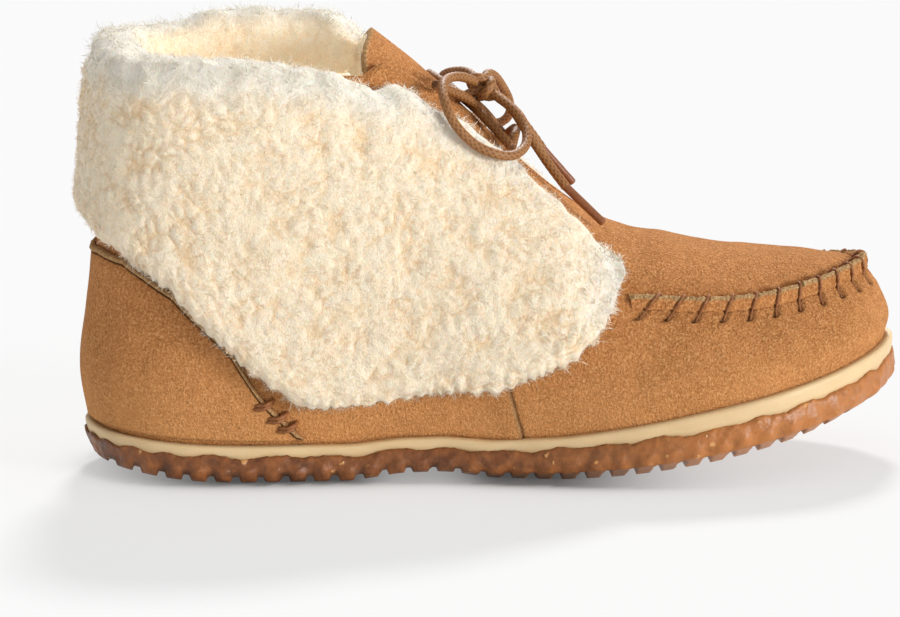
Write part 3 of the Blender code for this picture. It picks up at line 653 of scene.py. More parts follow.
def densify(keys, steps):
    """More rows between rows of key points, along the smooth curves through them."""
    ends = [2 * keys[0] - keys[1], *keys, 2 * keys[-1] - keys[-2]]
    rows = []
    for k, count in enumerate(steps):
        rows += [blend(*ends[k : k + 4], u / count) for u in range(count)]
    return np.stack(rows + [keys[-1]])


# Shader maths


class Wire:
    """A socket of a material's nodes. Python's arithmetic on it adds Math nodes."""

    def __init__(self, paint, socket):
        self.paint = paint
        self.socket = socket

    def math(self, operation, *values):
        return self.paint.node("Math", {"operation": operation}, dict(enumerate(values)))

    def __add__(self, other):
        return self.math("ADD", self, other)

    def __radd__(self, other):
        return self.math("ADD", other, self)

    def __sub__(self, other):
        return self.math("SUBTRACT", self, other)

    def __rsub__(self, other):
        return self.math("SUBTRACT", other, self)

    def __mul__(self, other):
        return self.math("MULTIPLY", self, other)

    def __rmul__(self, other):
        return self.math("MULTIPLY", other, self)

    def clamped(self):
        return self.math("MAXIMUM", self.math("MINIMUM", self, 1.0), 0.0)

    def between(self, low, high):
        """0 where the value is under low, 1 over high, with a straight change between them."""
        return ((self - low) * (1 / (high - low))).clamped()


class Paint:
    """A material with a Principled shader, and the making of the nodes that feed it."""

    def __init__(self, name):
        self.material = bpy.data.materials.new(name)
        self.material.use_nodes = True
        self.nodes = self.material.node_tree.nodes
        self.links = self.material.node_tree.links
        self.shader = self.nodes["Principled BSDF"]

    def set(self, **values):
        """Feeds sockets of the shader, each named with _ where its name has a space."""
        for name, value in values.items():
            self.feed(self.shader.inputs[name.replace("_", " ")], value)

    def feed(self, socket, value):
        """Gives a socket a number, a colour or a link."""
        if isinstance(value, Wire):
            self.links.new(value.socket, socket)
        elif socket.type == "RGBA":
            socket.default_value = (*value[:3], 1.0)
        else:
            socket.default_value = value

    def node(self, kind, settings=None, values=None, output=0):
        """Any node: its settings are set first, then the values or links of its sockets."""
        made = self.nodes.new("ShaderNode" + kind)
        for name, value in (settings or {}).items():
            setattr(made, name, value)
        for socket, value in (values or {}).items():
            self.feed(made.inputs[socket], value)
        return Wire(self, made.outputs[output])

    def place(self):
        """The point's place on the object, which doesn't move with the camera."""
        return self.node("TexCoord", output="Object")

    def height(self):
        """How high the point lies over the floor, in metres."""
        return self.node("SeparateXYZ", values={"Vector": self.place()}, output="Z")

    def noise(self, size, detail=2.0, roughness=0.5, vector=None, distortion=0.0):
        """Noise from 0 to 1 with features of about that size, in metres."""
        values = {
            "Vector": vector or self.place(),
            "Scale": 1 / size,
            "Detail": detail,
            "Roughness": roughness,
            "Distortion": distortion,
        }
        return self.node("TexNoise", values=values)

    def swirl(self, size, amount):
        """An uneven shift of up to about half that amount to each side, for adding to a place."""
        values = {"Vector": self.place(), "Scale": 1 / size, "Detail": 2.0}
        shift = self.node("TexNoise", values=values, output="Color")
        centred = self.node("VectorMath", {"operation": "SUBTRACT"}, {0: shift, 1: (0.5, 0.5, 0.5)})
        return self.node("VectorMath", {"operation": "SCALE"}, {0: centred, "Scale": amount})

    def cells(self, size, feature="F1", vector=None, output="Distance"):
        values = {"Vector": vector or self.place(), "Scale": 1 / size}
        return self.node("TexVoronoi", {"feature": feature}, values, output)

    def field(self, name):
        """A value that the mesh holds at each point."""
        return self.node("Attribute", {"attribute_name": name}, output="Fac")

    def mix(self, share, first, second):
        """A colour between two colours."""
        return self.node("Mix", {"data_type": "RGBA"}, {0: share, 6: first, 7: second}, output=2)

    def stretched(self, factors):
        """The object's place with each axis scaled."""
        return self.node("VectorMath", {"operation": "MULTIPLY"}, {0: self.place(), 1: factors})

    def bump(self, height, distance, strength=1.0):
        """Relief from a height of 0 to 1, which stands for that many metres."""
        values = {"Height": height, "Distance": distance, "Strength": strength}
        self.set(Normal=self.node("Bump", values=values))


def colours():
    return bpy.context.scene.boot_colours


def sizes():
    return bpy.context.scene.boot_sizes


def remembered(make):
    """Makes a material once and gives the same one after that."""

    def found():
        name = make.__name__ + "_finish"
        known = bpy.data.materials.get(name)
        if known:
            return known
        paint = Paint(name)
        make(paint)
        return paint.material

    return found


@remembered
def suede(paint):
    """Brushed suede: coarse nap speckle, cloudy stroked patches, pale raw edges, painted light and painted
    shade.
    """
    chosen = colours()
    paint.set(Sheen_Weight=0.06, Sheen_Roughness=0.5, Sheen_Tint=chosen.suede_raw, Specular_IOR_Level=0.08)
    clouds = paint.noise(0.024, 3.0, 0.6)
    nap = paint.noise(0.0030, 2.0, 0.6)
    grain = paint.noise(0.00080, 2.0, 0.65)
    tufts = paint.noise(0.00042, 1.0, 0.6)
    tone = 0.66 + (clouds - 0.5) * 0.6 + (nap - 0.5) * 0.5 + (grain - 0.5) * 1.7 + (tufts - 0.5) * 1.4
    shade = paint.mix(tone.clamped(), chosen.suede_dark, chosen.suede)
    light = grain.between(0.54, 0.72) * 0.45
    shade = paint.mix(light, shade, chosen.suede_raw)
    # Painted light: the suede is made paler towards the sole, as if lit there from low down.
    low = 1 - paint.height().between(0.012, 0.050)
    shade = paint.mix(low * 0.30, shade, linear(232, 170, 106))
    raw = paint.field("raw")
    crumbs = paint.noise(0.0008, 2.0, 0.7).between(0.38, 0.60)
    shade = paint.mix((raw * (0.62 + 0.38 * crumbs)).clamped(), shade, chosen.suede_raw)
    # Painted shade: the dark field darkens stitch slits and holes, lapped edges, grooves, crumb pits and the
    # strip above the sole.
    dark = paint.field("dark").clamped()
    shade = paint.mix(dark * 0.85, shade, linear(62, 34, 18))
    paint.set(Base_Color=shade, Roughness=0.86 + 0.12 * nap)
    paint.bump(0.7 * grain + 0.3 * tufts + raw * crumbs * 0.6, 0.0013, 0.9)


def painted_glow_inside(paint):
    """Painted light: a faint warm glow inside the collar, standing in for light passed on from fibre to fibre.
    """
    glow = paint.mix(paint.field("inner"), (0.0, 0.0, 0.0), (1.0, 0.84, 0.55))
    paint.set(Emission_Color=glow, Emission_Strength=0.17)


@remembered
def fleece(paint):
    """Wool pile: warm between the curls, partly painted shade, pale on top, paler and greyer along the edges.
    """
    chosen = colours()
    paint.set(Sheen_Weight=0.15, Sheen_Roughness=0.6, Specular_IOR_Level=0.0, Roughness=1.0)
    paint.set(Subsurface_Weight=0.35, Subsurface_Radius=(1.0, 0.62, 0.38), Subsurface_Scale=0.0022)
    curl = paint.field("curl")
    patches = paint.noise(0.030, 2.0, 0.5)
    fluff = paint.noise(0.0011, 3.0, 0.7)
    height = (curl + (fluff - 0.5) * 0.3 + (patches - 0.5) * 0.25).between(0.02, 0.50)
    # Between the curls: the roots' own colour and painted shade in the creases.
    shade = paint.mix(height, chosen.fleece_root_and_shade, chosen.fleece)
    paint.set(Base_Color=paint.mix(paint.field("edge").clamped() * 0.85, shade, chosen.fleece_edge))
    painted_glow_inside(paint)
    paint.bump(0.6 * fluff + 0.4 * paint.noise(0.0005, 2.0, 0.7), 0.0011, 0.9)


@remembered
def wool_fibre(paint):
    """Single fibres: each takes its tone from where it grows, and pales towards its tip."""
    chosen = colours()
    paint.set(Sheen_Weight=0.15, Specular_IOR_Level=0.0, Roughness=1.0)
    # Fibres in the creases take the roots' colour, partly painted shade.
    shade = paint.mix(paint.field("curl").clamped(), chosen.fleece_root_and_shade, chosen.fleece)
    paint.set(Base_Color=paint.mix(paint.field("edge").clamped() * 0.85, shade, chosen.fleece_edge))
    painted_glow_inside(paint)


@remembered
def gum_rubber(paint):
    """Marbled gum rubber with pale glossy crumbs, a satin face, and painted shade in the lugs' grooves."""
    chosen = colours()
    streaks = paint.noise(0.012, 3.0, 0.55, paint.stretched((1.0, 1.0, 0.6)), 1.0)
    blotches = paint.noise(0.0034, 3.0, 0.65)
    tone = (streaks.between(0.38, 0.66) * 0.6 + (blotches - 0.5) * 1.8 + 0.22).clamped()
    shade = paint.mix(tone, chosen.gum, chosen.gum_light)
    toe = paint.field("toe").clamped()
    shade = paint.mix(toe * (0.62 + 0.5 * (blotches - 0.5)), shade, linear(198, 126, 62))
    # Painted shade: the grooves between the lugs are darkened almost to black.
    shade = paint.mix(paint.field("dark").clamped() * 0.8, shade, linear(34, 18, 10))
    swirled = {0: paint.place(), 1: paint.swirl(0.0022, 0.0030)}
    ragged = paint.node("VectorMath", {"operation": "ADD"}, swirled)
    crumbs = 1 - paint.cells(0.0046, vector=ragged).between(0.13, 0.24)
    few = paint.noise(0.0052, 1.0).between(0.50, 0.56)
    flecks = (crumbs * few).clamped()
    shade = paint.mix(flecks * 0.7, shade, linear(222, 164, 98))
    paint.set(Base_Color=shade, Roughness=0.43 - 0.2 * flecks + 0.4 * (blotches - 0.5))
    paint.set(Subsurface_Weight=0.1, Subsurface_Scale=0.002, Specular_IOR_Level=0.45)
    paint.bump(blotches * 0.8 + flecks * 0.5 + paint.noise(0.0011, 2.0) * 0.3, 0.0006, 0.7)


@remembered
def cream_rubber(paint):
    """Smooth cream rubber with faint scuffs, darker towards its lower edge."""
    chosen = colours()
    wear = paint.noise(0.006, 3.0, 0.6, paint.stretched((0.5, 0.5, 1.6)))
    shade = paint.mix(wear.between(0.35, 0.75) * 0.28, chosen.cream, linear(190, 156, 106))
    shade = paint.mix(paint.field("dark").clamped() * 0.35, shade, linear(176, 132, 84))
    paint.set(Base_Color=shade, Roughness=0.52 + 0.2 * (wear - 0.5))
    paint.set(Subsurface_Weight=0.1, Subsurface_Scale=0.002)
    paint.bump(paint.noise(0.0012, 3.0, 0.6), 0.0002, 0.5)


@remembered
def lace_cord(paint):
    """Waxed round braid: strands in relief, with painted shade between them."""
    chosen = colours()
    strand = paint.field("strand")
    tone = (strand * 1.1 + (paint.noise(0.0009, 2.0) - 0.5) * 0.5).clamped()
    shade = paint.mix(tone, chosen.lace_dark, chosen.lace)
    worn = paint.noise(0.008, 2.0).between(0.45, 0.75)
    paint.set(Base_Color=paint.mix(worn * 0.25, shade, linear(184, 132, 78)), Roughness=0.62 - 0.1 * strand)
    paint.bump(paint.noise(0.00035, 2.0, 0.6), 0.00012, 0.8)


@remembered
def seam_thread(paint):
    """Waxed two-ply thread."""
    chosen = colours()
    shade = paint.mix(paint.noise(0.0006, 2.0).between(0.35, 0.7), chosen.thread, chosen.lace)
    paint.set(Base_Color=shade, Roughness=0.6 + 0.2 * (paint.noise(0.001) - 0.5))
    paint.bump(paint.noise(0.0003, 2.0), 0.0001, 0.8)


@remembered
def aglet_sleeve(paint):
    """Shrunk plastic sleeve on the lace's tip, with fine creases along it."""
    chosen = colours()
    creases = paint.noise(0.0011, 3.0, 0.6)
    shade = paint.mix(creases.between(0.3, 0.7) * 0.5, chosen.aglet, linear(108, 62, 34))
    paint.set(Base_Color=shade, Roughness=0.42 + 0.2 * (creases - 0.5))
    paint.bump(creases, 0.0002, 0.7)


@remembered
def studio_floor(paint):
    """Plain pale floor that glows evenly, with a painted contact shadow under and round the sole."""
    glow = paint.mix(paint.field("contact"), (1.0, 1.0, 1.0), (0.02, 0.02, 0.02))
    paint.set(Base_Color=(0.26, 0.26, 0.26), Roughness=0.9, Specular_IOR_Level=0.0)
    paint.set(Emission_Color=glow, Emission_Strength=0.63)


# Sole


def rim_height(p):
    """The gum's top edge laps up on the cream band in uneven waves."""
    arc = p * LENGTH / TOE
    turn = arc * math.tau / RIM_WAVELENGTH
    return RIM_LIP + RIM_WAVE * (np.sin(turn) + 0.5 * np.sin(0.61 * turn + 1.3))


def camber(x):
    """How much the edge of the underside is raised: not at all under the heel, most under the ball."""
    return EDGE_CAMBER * ramp(x / LENGTH, 0.30, 0.62)


def groove_share(x, y):
    """1 in the grooves between the lugs and 0 on the lugs."""
    pitches = (x - HEEL_TO_ORIGIN) / LUG_PITCH
    from_groove = np.abs(pitches - np.floor(pitches) - 0.5) * LUG_PITCH
    across = 1 - ramp(from_groove, LUG_GAP / 2 - LUG_SLOPE, LUG_GAP / 2 + LUG_SLOPE)
    first = -math.floor(HEEL_TO_ORIGIN / LUG_PITCH)
    last = math.floor((LENGTH - HEEL_TO_ORIGIN) / LUG_PITCH)
    start, end = (HEEL_TO_ORIGIN + (k + 0.5) * LUG_PITCH for k in (first + 2, last - 9))
    from_row = np.abs(np.abs(y) - TREAD_ROW_SPACING)
    along = 1 - ramp(from_row, LUG_GAP / 2 - LUG_SLOPE, LUG_GAP / 2 + LUG_SLOPE)
    along *= (x > start) & (x < end)
    ends = (pitches > first + 0.2) & (pitches < last - 0.2)
    return np.maximum(across * ends, along)


def lifted_by_grooves(points):
    """Raises what lies lower than a groove's roof to that roof."""
    x, y, z = points[..., 0], points[..., 1], points[..., 2]
    depth = LUG_DEPTH * (0.62 + 0.38 * ramp(x / LENGTH, 0.3, 0.62))
    roof = sole_bottom(x) + depth * groove_share(x, y)
    points[..., 2] = np.maximum(z, roof)
    return points


def outsole_rows(p):
    """Key rows from the underside's edge up the side, over the rim and down to the midsole's seat."""

    def row(inset, height_at):
        points = plan_point(p, inset)
        points[:, 2] = height_at(points[:, 0])
        return points

    lumps = 0.00035
    tuck = HEEL_TUCK * (1 - ramp(plan_point(p)[:, 0] / LENGTH, 0.02, 0.16))
    rows = [row(EDGE_CAMBER_WIDTH, sole_bottom)]
    for inset, height, share in ((0.0034, 0.0002, 1.0), (0.0010, 0.0014, 0.9), (0.0000, 0.0036, 0.7)):
        rows.append(row(inset + share * tuck, lambda x, h=height: sole_bottom(x) + h + camber(x)))
    rows.append(row(0.0003 - lumps + 0.4 * tuck, lambda x: outsole_top(x) - 0.0012))
    top = rim_height(p)
    rows.append(row(RIM_INSET * 0.6, lambda x: outsole_top(x) + top - 0.0005))
    rows.append(row(RIM_INSET + 0.0006, lambda x: outsole_top(x) + top))
    rows.append(row(RIM_INSET + RIM_WALL, lambda x: outsole_top(x) + top - 0.0003))
    rows.append(row(RIM_INSET + RIM_WALL, outsole_top))
    return rows


def foot_strip(row, count):
    """Points across the foot, between the outer and the inner side of a ring of points."""
    half = len(row) // 2
    far = (len(row) - np.arange(half + 1)) % len(row)
    share = spread(0, 1, count)[:, None, None]
    return row[: half + 1][None] * (1 - share) + row[far][None] * share


def layer_parts(rows, under, over):
    """Points and faces of a closed layer of the sole, from its side's rows and the strips below and above."""
    side = rows.reshape(-1, 3), grid_faces(*rows.shape[:2], closed_columns=True)
    below = under.reshape(-1, 3), grid_faces(*under.shape[:2])[:, ::-1]
    above = over.reshape(-1, 3), grid_faces(*over.shape[:2])
    return join_parts([side, below, above])


def make_outsole():
    """Gum rubber: fluted and lumpy side, wavy rim, and lugs across the underside."""
    columns, across = 1080, 40
    p = LOOP * np.arange(columns) / columns
    rows = densify(outsole_rows(p), (4, 4, 4, 6, 3, 2, 1, 1))
    out = rows - plan_point(p, 0.02)[None]
    out[..., 2] = 0
    out = unit(out)
    sideways = np.abs(out[..., 1]) ** 0.7
    by_x = np.cos(math.tau * (rows[..., 0] - HEEL_TO_ORIGIN) / LUG_PITCH)
    by_arc = np.cos(math.tau * p * LENGTH / TOE / LUG_PITCH)[None]
    height = rows[..., 2] - sole_bottom(rows[..., 0])
    full = outsole_top(rows[..., 0]) - sole_bottom(rows[..., 0])
    fade = 1 - ramp(height / full, 0.55, 0.95)
    flute = (by_x * sideways + by_arc * (1 - sideways)) * fade
    rough = 0.00050 * noise_at(rows * (1, 1, 0.6), 0.0050) + 0.00028 * noise_at(rows, 0.0019, 5.0)
    on_side = ramp(np.arange(len(rows)), 5, 10) * (1 - ramp(np.arange(len(rows)), 22, 25))
    relief = (rough + 0.00060 * flute - 0.0003) * on_side[:, None]
    rows = rows + out * relief[..., None]
    rows[..., 2] += 0.0003 * noise_at(rows, 0.0045, 9.0) * on_side[:, None]
    on_rim = ramp(np.arange(len(rows)), 16, 19)[:, None]
    rows[..., 2] += RIM_JAG * on_rim * (noise_at(rows, 0.0017, 14.0) + 0.7 * noise_at(rows, 0.0044, 19.0))
    rows = lifted_by_grooves(rows)
    gaps = groove_share(rows[..., 0], rows[..., 1])
    gaps *= 1 - ramp(height, LUG_DEPTH - 0.001, LUG_DEPTH + 0.001)
    under, over = foot_strip(rows[0], across), foot_strip(rows[-1], 2)
    under[1:-1, :, 2] = sole_bottom(under[1:-1, :, 0])
    under[1:-1] = lifted_by_grooves(under[1:-1])
    points, faces = layer_parts(rows, under, over)
    under_gaps = groove_share(under[..., 0], under[..., 1])
    # Painted shade in the grooves between the lugs, on the side and underneath.
    dark = 0.7 * np.concatenate([gaps, under_gaps, np.zeros(over.shape[:2])], axis=None)
    fields = {"toe": ramp(points[:, 0] / LENGTH, 0.42, 0.86), "dark": dark}
    mesh = welded_mesh("outsole_gum", points, faces, fields)
    return add_piece("outsole_gum", mesh, gum_rubber(), "gum_rubber", "outsole")


def make_midsole():
    """The cream band: it stands in the outsole's rim and swells out over it, flush with the gum."""
    columns = 620
    p = LOOP * np.arange(columns) / columns
    seat = RIM_INSET + RIM_WALL + SEAT_GAP
    lip = rim_height(p)
    keys = []
    for inset, above, share in (
        (seat, 0.0, 0.0),
        (seat, -0.0010, 0.0),
        (RIM_INSET + 0.0011, -0.0004, 0.0),
        (RIM_INSET + 0.0006, 0.0006, 0.0),
        (RIM_INSET + 0.0004, 0.0, 0.68),
        (RIM_INSET + 0.0005, 0.0, 0.86),
        (RIM_INSET + 0.0012, 0.0, 0.98),
        (RIM_INSET + 0.0030, 0.0, 1.01),
        (FEATHER_INSET + 0.0020, 0.0, 1.0),
    ):
        row = plan_point(p, inset)
        low, high = outsole_top(row[:, 0]), midsole_top(row[:, 0])
        if above:
            row[:, 2] = low + lip + above
        else:
            row[:, 2] = low + CLEARANCE + share * (high - low - CLEARANCE)
        keys.append(row)
    rows = densify(keys, (1, 2, 2, 3, 3, 3, 2, 1))
    uneven = 0.00020 * noise_at(rows * (1, 1, 0.35), 0.011)
    uneven += 0.00006 * noise_at(rows * (0.4, 0.4, 2.2), 0.0025)
    out = unit((rows - plan_point(p, 0.02)[None]) * (1, 1, 0))
    rows = rows + out * uneven[..., None]
    points, faces = layer_parts(rows, foot_strip(rows[0], 2), foot_strip(rows[-1], 2))
    dark = 1 - ramp(points[:, 2] - outsole_top(points[:, 0]), 0.0012, 0.0030)
    mesh = welded_mesh("midsole_band", points, faces, {"dark": dark})
    return add_piece("midsole_band", mesh, cream_rubber(), "cream_rubber", "midsole")


def curl_height(points):
    """Height of the fleece's curls, 0 in the deepest creases and 1 on top; some neighbours run together."""
    size = sizes().curl_size
    moved = warped(points, 2.2 * size, 0.6 * size) * (1.0, 1.0, 0.78)
    large, small = np.sqrt(cells_at(moved, size)), np.sqrt(cells_at(moved, 0.52 * size, 7.0))
    depth = np.clip(0.82 + 0.7 * noise_at(points, 2.0 * size, 12.0), 0.5, 1.0)
    return 1 - (1 - 0.74 * large - 0.26 * small) * depth


def make_insole():
    """The fleece footbed."""
    columns = 230
    p = LOOP * np.arange(columns) / columns
    edge = FEATHER_INSET + UPPER_WALL + 3 * CLEARANCE
    keys = []
    for inset, share in ((edge + 0.0008, 0.0), (edge, 0.35), (edge + 0.0006, 0.85), (edge + 0.003, 1.0)):
        row = plan_point(p, inset)
        row[:, 2] = midsole_top(row[:, 0]) + SEAT_GAP + share * INSOLE_HEIGHT
        keys.append(row)
    rows = densify(keys, (2, 2, 2))
    over = foot_strip(rows[-1], 70)
    over[1:-1, :, 2] += 0.0012 * (curl_height(over[1:-1]) - 0.4)
    points, faces = layer_parts(rows, foot_strip(rows[0], 2), over)
    fields = {"curl": curl_height(points), "edge": np.zeros(len(points))}
    mesh = welded_mesh("insole_fleece", points, faces, fields)
    return add_piece("insole_fleece", mesh, fleece(), "fleece", "insole")


# Upper


def seam_line():
    """Loop positions along the moccasin seam and the distance along it, from the throat's outer end."""
    p = spread(SEAM_START, LOOP - SEAM_START, 600)
    points = surface(p, 0.5)
    arc = np.concatenate([[0], np.cumsum(np.linalg.norm(np.diff(points, axis=0), axis=1))])
    return p, arc


def stitch_count():
    return round(seam_line()[1][-1] / STITCH_PITCH)


def stitch_lean(distance):
    """How far a stitch leans along the seam over its whole height: towards the toe on both sides."""
    total = seam_line()[1][-1]
    return sizes().stitch_lean * (1 - 2 * distance / total)


def stitch_phase(distance, height):
    """Place between stitches at a distance along the seam and a height over or under it: 0 on a stitch."""
    pitch = seam_line()[1][-1] / stitch_count()
    leaned = distance - stitch_lean(distance) * height / sizes().stitch_reach
    return (leaned / pitch + 0.5) % 1.0 - 0.5


def from_crease(p, t, crease, points):
    """Height that a crease adds at points of the surface."""
    ends = surface(np.array([crease.start_p, crease.end_p]), np.array([crease.start_t, crease.end_t]))
    line = ends[1] - ends[0]
    share = np.clip(((points - ends[0]) @ line) / (line @ line), 0, 1)
    away = np.linalg.norm(points - ends[0] - share[..., None] * line, axis=-1)
    fade = np.sin(np.pi * np.clip(share * 0.9 + 0.05, 0, 1))
    return crease.height * fade * np.exp(-((away / crease.half_width) ** 2))


def upper_relief(p, t, points):
    """How far the fine surface stands off the plain wall, how much painted shade it takes, and how raw it is.
    """
    station = station_of(p)
    relief = 0.00035 * noise_at(points, 0.016) + 0.00016 * noise_at(points, 0.006, 9.0)
    for crease in CREASES:
        relief += from_crease(p, t, crease, points)
        relief += from_crease(p, t, crease, points * (1, -1, 1))
    seam_p, seam_arc = seam_line()
    distance = np.interp(np.clip(p, seam_p[0], seam_p[-1]), seam_p, seam_arc)
    speed = rise_speed(p, 0.5)
    height = (t - 0.5) * speed
    reach = sizes().stitch_reach
    pitch = seam_arc[-1] / stitch_count()
    along = ramp(station, SEAM_START - 0.15, SEAM_START + 0.1)
    phase = stitch_phase(distance, height)
    below = ramp(height, -reach - 0.0006, -reach + 0.0002) * (1 - ramp(height, -0.0004, 0.0004))
    slit = np.exp(-((phase * pitch / 0.00100) ** 2))
    puff = np.cos(np.pi * phase) ** 2
    gather = ramp(height, -0.0120, -0.0030) * (1 - ramp(height, 0.0, 0.0006))
    relief += along * (-0.0016 * slit * below - 0.0008 * (1 - puff) * gather + 0.0007 * gather)
    above = np.exp(-(((height - 0.0024) / 0.0016) ** 2))
    relief += along * above * (-0.0006 + 0.0003 * np.cos(2 * np.pi * phase))
    hole = np.exp(-(((height + reach) / 0.0007) ** 2)) * np.exp(-((phase * pitch / 0.0006) ** 2))
    relief -= along * 0.0009 * hole
    # Painted shade in the stitch slits and holes.
    dark = along * (0.8 * slit * below + 1.0 * hole)
    edge = QUARTER_SEAM[0] + (QUARTER_SEAM[1] - QUARTER_SEAM[0]) * t / 0.28
    past = (station - edge) * LENGTH * 0.09
    lap = ramp(past, -0.0090, -0.0010) * (1 - ramp(past, -0.0002, 0.0002))
    lower = 1 - ramp(t, 0.34, 0.42)
    relief += 0.0010 * lap * lower
    # Painted shadow along the quarter's lapped edge.
    dark += 1.0 * lower * np.exp(-(((past - 0.0003) / 0.00050) ** 2))
    raw = 0.5 * lower * np.exp(-(((past + 0.0003) / 0.0004) ** 2))
    # Painted shade along the bottom, where the wall meets the midsole.
    dark += 0.25 * (1 - ramp(t, 0.003, 0.013))
    return relief, dark, raw


def upper_columns():
    """Loop positions of the upper's columns, closer together where a panel laps over another."""
    even = spread(0, LOOP, 480)[:-1]
    close = spread(-0.06, 0.06, 13) + np.mean(QUARTER_SEAM)
    seams = np.concatenate([close + shift for shift in (-0.08, 0.0, 0.08)])
    extra = np.concatenate([seams, LOOP - seams])
    kept = np.unique(np.round(np.concatenate([even, extra]), 4))
    return kept[np.concatenate([[True], np.diff(kept) > 0.004])]


def upper_rows():
    """Shares of the section for the upper's rows, closer together at the moccasin seam."""
    return np.concatenate([spread(0, 0.30, 20), spread(0.31, 0.58, 42), spread(0.60, 1.0, 22)])


def make_upper():
    """The suede wall: fine outer face with seams and creases, and a plain inner face."""
    p, t = upper_columns(), upper_rows()
    count = len(p)
    grid_p, grid_t = np.meshgrid(p, t)
    points = surface(grid_p, grid_t)
    relief, dark, raw = upper_relief(grid_p, grid_t, points)
    _, normals, _ = frame_at(grid_p, grid_t)
    outer = points + normals * relief[..., None]
    outer[0, :, 2] -= SEAT_GAP + 0.0004
    inner_t = spread(1.0, 0.0, 12)
    inner_p, inner_grid = np.meshgrid(p, inner_t)
    inner = skin(inner_p, inner_grid, np.full(inner_grid.shape, -UPPER_WALL))
    closed = station_of(p) >= VAMP_POINT
    for ridge in (outer[-1], inner[0]):
        mirror = np.stack([np.interp(LOOP - p, p, ridge[:, k], period=LOOP) for k in range(3)], -1)
        ridge[closed] = ((ridge + mirror) / 2)[closed]
    rows = np.concatenate([outer, inner])
    faces = grid_faces(len(rows), count, closed_rows=True, closed_columns=True)
    row, col = np.divmod(faces[:, 0], count)
    rim = (row == len(t) - 1) & closed[col] & closed[(col + 1) % count]
    fields = {
        "dark": np.concatenate([dark, np.zeros(inner_grid.shape)]),
        "raw": np.concatenate([raw, np.zeros(inner_grid.shape)]),
    }
    mesh = welded_mesh("upper_suede", rows, faces[~rim], fields, distance=0.00012)
    return add_piece("upper_suede", mesh, suede(), "suede", "upper")


def counter_edge_t(p):
    return table_value(COUNTER_EDGE, station_of(p), 1)


def make_counter():
    """The heel counter: an overlay whose top edge is a raised seam with a pale raw strip."""
    reach = COUNTER_EDGE[-1][0]
    p = spread(-reach, reach, 380)
    edge = counter_edge_t(p)
    low = np.minimum(0.02, 0.4 * edge)
    speed = rise_speed(p, edge)
    strip, groove = 0.0018 / speed, 0.0011 / speed
    body_top = np.maximum(edge - strip - groove, low)
    shares = [low + (body_top - low) * u for u in spread(0, 1, 34)]
    lifts = [np.full(len(p), CLEARANCE + COUNTER_WALL)] * 34
    raw = [np.zeros(len(p))] * 34
    # Painted shade along the bottom rows, where the counter meets the sole.
    dark = [0.3 * (1 - ramp(np.full(len(p), u), 0.0, 0.03)) for u in spread(0, 1, 34)]
    # Across the top edge: place, lift, rawness and painted shade, darkest in the groove under the bead.
    profile = (
        (0.25, COUNTER_WALL * 0.85, 0.0, 0.5),
        (0.50, COUNTER_WALL * 0.35, 0.0, 1.0),
        (0.80, COUNTER_WALL * 0.70, 0.3, 0.8),
        (1.10, COUNTER_BEAD * 0.92, 0.6, 0.1),
        (1.55, COUNTER_BEAD, 0.8, 0.0),
        (2.10, COUNTER_BEAD * 0.95, 0.8, 0.0),
        (2.60, COUNTER_BEAD * 0.72, 0.6, 0.2),
        (3.00, COUNTER_BEAD * 0.30, 0.4, 0.4),
    )
    total = strip + groove
    for place, lift, rawness, darkness in profile:
        shares.append(np.minimum(body_top + total * place / 3.1, edge))
        lifts.append(np.full(len(p), CLEARANCE + lift))
        raw.append(np.full(len(p), rawness))
        dark.append(np.full(len(p), darkness))
    grid_p = np.broadcast_to(p, (len(shares), len(p)))
    grid_t, lift = np.stack(shares), np.stack(lifts)
    points = surface(grid_p, grid_t)
    bumps = 0.00022 * noise_at(points, 0.011, 2.0) + 0.00050 * np.stack(raw) * noise_at(points, 0.0013, 7.0)
    for crease in CREASES:
        bumps += from_crease(grid_p, grid_t, crease, points)
        bumps += from_crease(grid_p, grid_t, crease, points * (1, -1, 1))
    outer = skin(grid_p, grid_t, np.maximum(lift + bumps, CLEARANCE * 1.5))
    inner_t = np.stack([edge + (low - edge) * u for u in spread(0, 1, 5)])
    inner = skin(np.broadcast_to(p, inner_t.shape), inner_t, np.full(inner_t.shape, CLEARANCE))
    rows = np.concatenate([outer, inner])
    faces = grid_faces(len(rows), len(p), closed_rows=True)
    plain = [np.zeros(inner_t.shape)]
    fields = {"raw": np.concatenate(raw + plain, axis=None), "dark": np.concatenate(dark + plain, axis=None)}
    mesh = new_mesh("counter_suede", rows, faces, fields)
    close_ends(mesh, len(rows), len(p))
    return add_piece("counter_suede", mesh, suede(), "suede", "heel_counter")


def tube_rings(route, radii, sides):
    """Rings round a route, each turned as little as possible from the one before."""
    route = np.asarray(route, float)
    along = unit(np.gradient(route, axis=0))
    side = unit(np.cross(along[0], (0.31, 0.17, 0.93)))
    rings = []
    angles = np.arange(sides) * math.tau / sides
    for point, ahead, radius in zip(route, along, radii):
        side = unit(side - ahead * (side @ ahead))
        up = np.cross(ahead, side)
        radius = np.broadcast_to(radius, sides)
        turn = np.cos(angles)[:, None] * side + np.sin(angles)[:, None] * up
        rings.append(point + radius[:, None] * turn)
    return np.stack(rings)


def tube_parts(route, radii, sides):
    """Points and quads of a tube with rounded ends, closed by a last small ring folded to a point."""
    rings = tube_rings(route, radii, sides)
    ends = [np.repeat(rings[k].mean(0)[None], sides, 0) for k in (0, -1)]
    rings = np.concatenate([ends[0][None], rings, ends[1][None]])
    return rings.reshape(-1, 3), grid_faces(len(rings), sides, closed_columns=True)


def join_parts(parts):
    points, faces, base = [], [], 0
    for part_points, part_faces in parts:
        points.append(part_points)
        faces.append(part_faces + base)
        base += len(part_points)
    return np.concatenate(points), np.concatenate(faces)


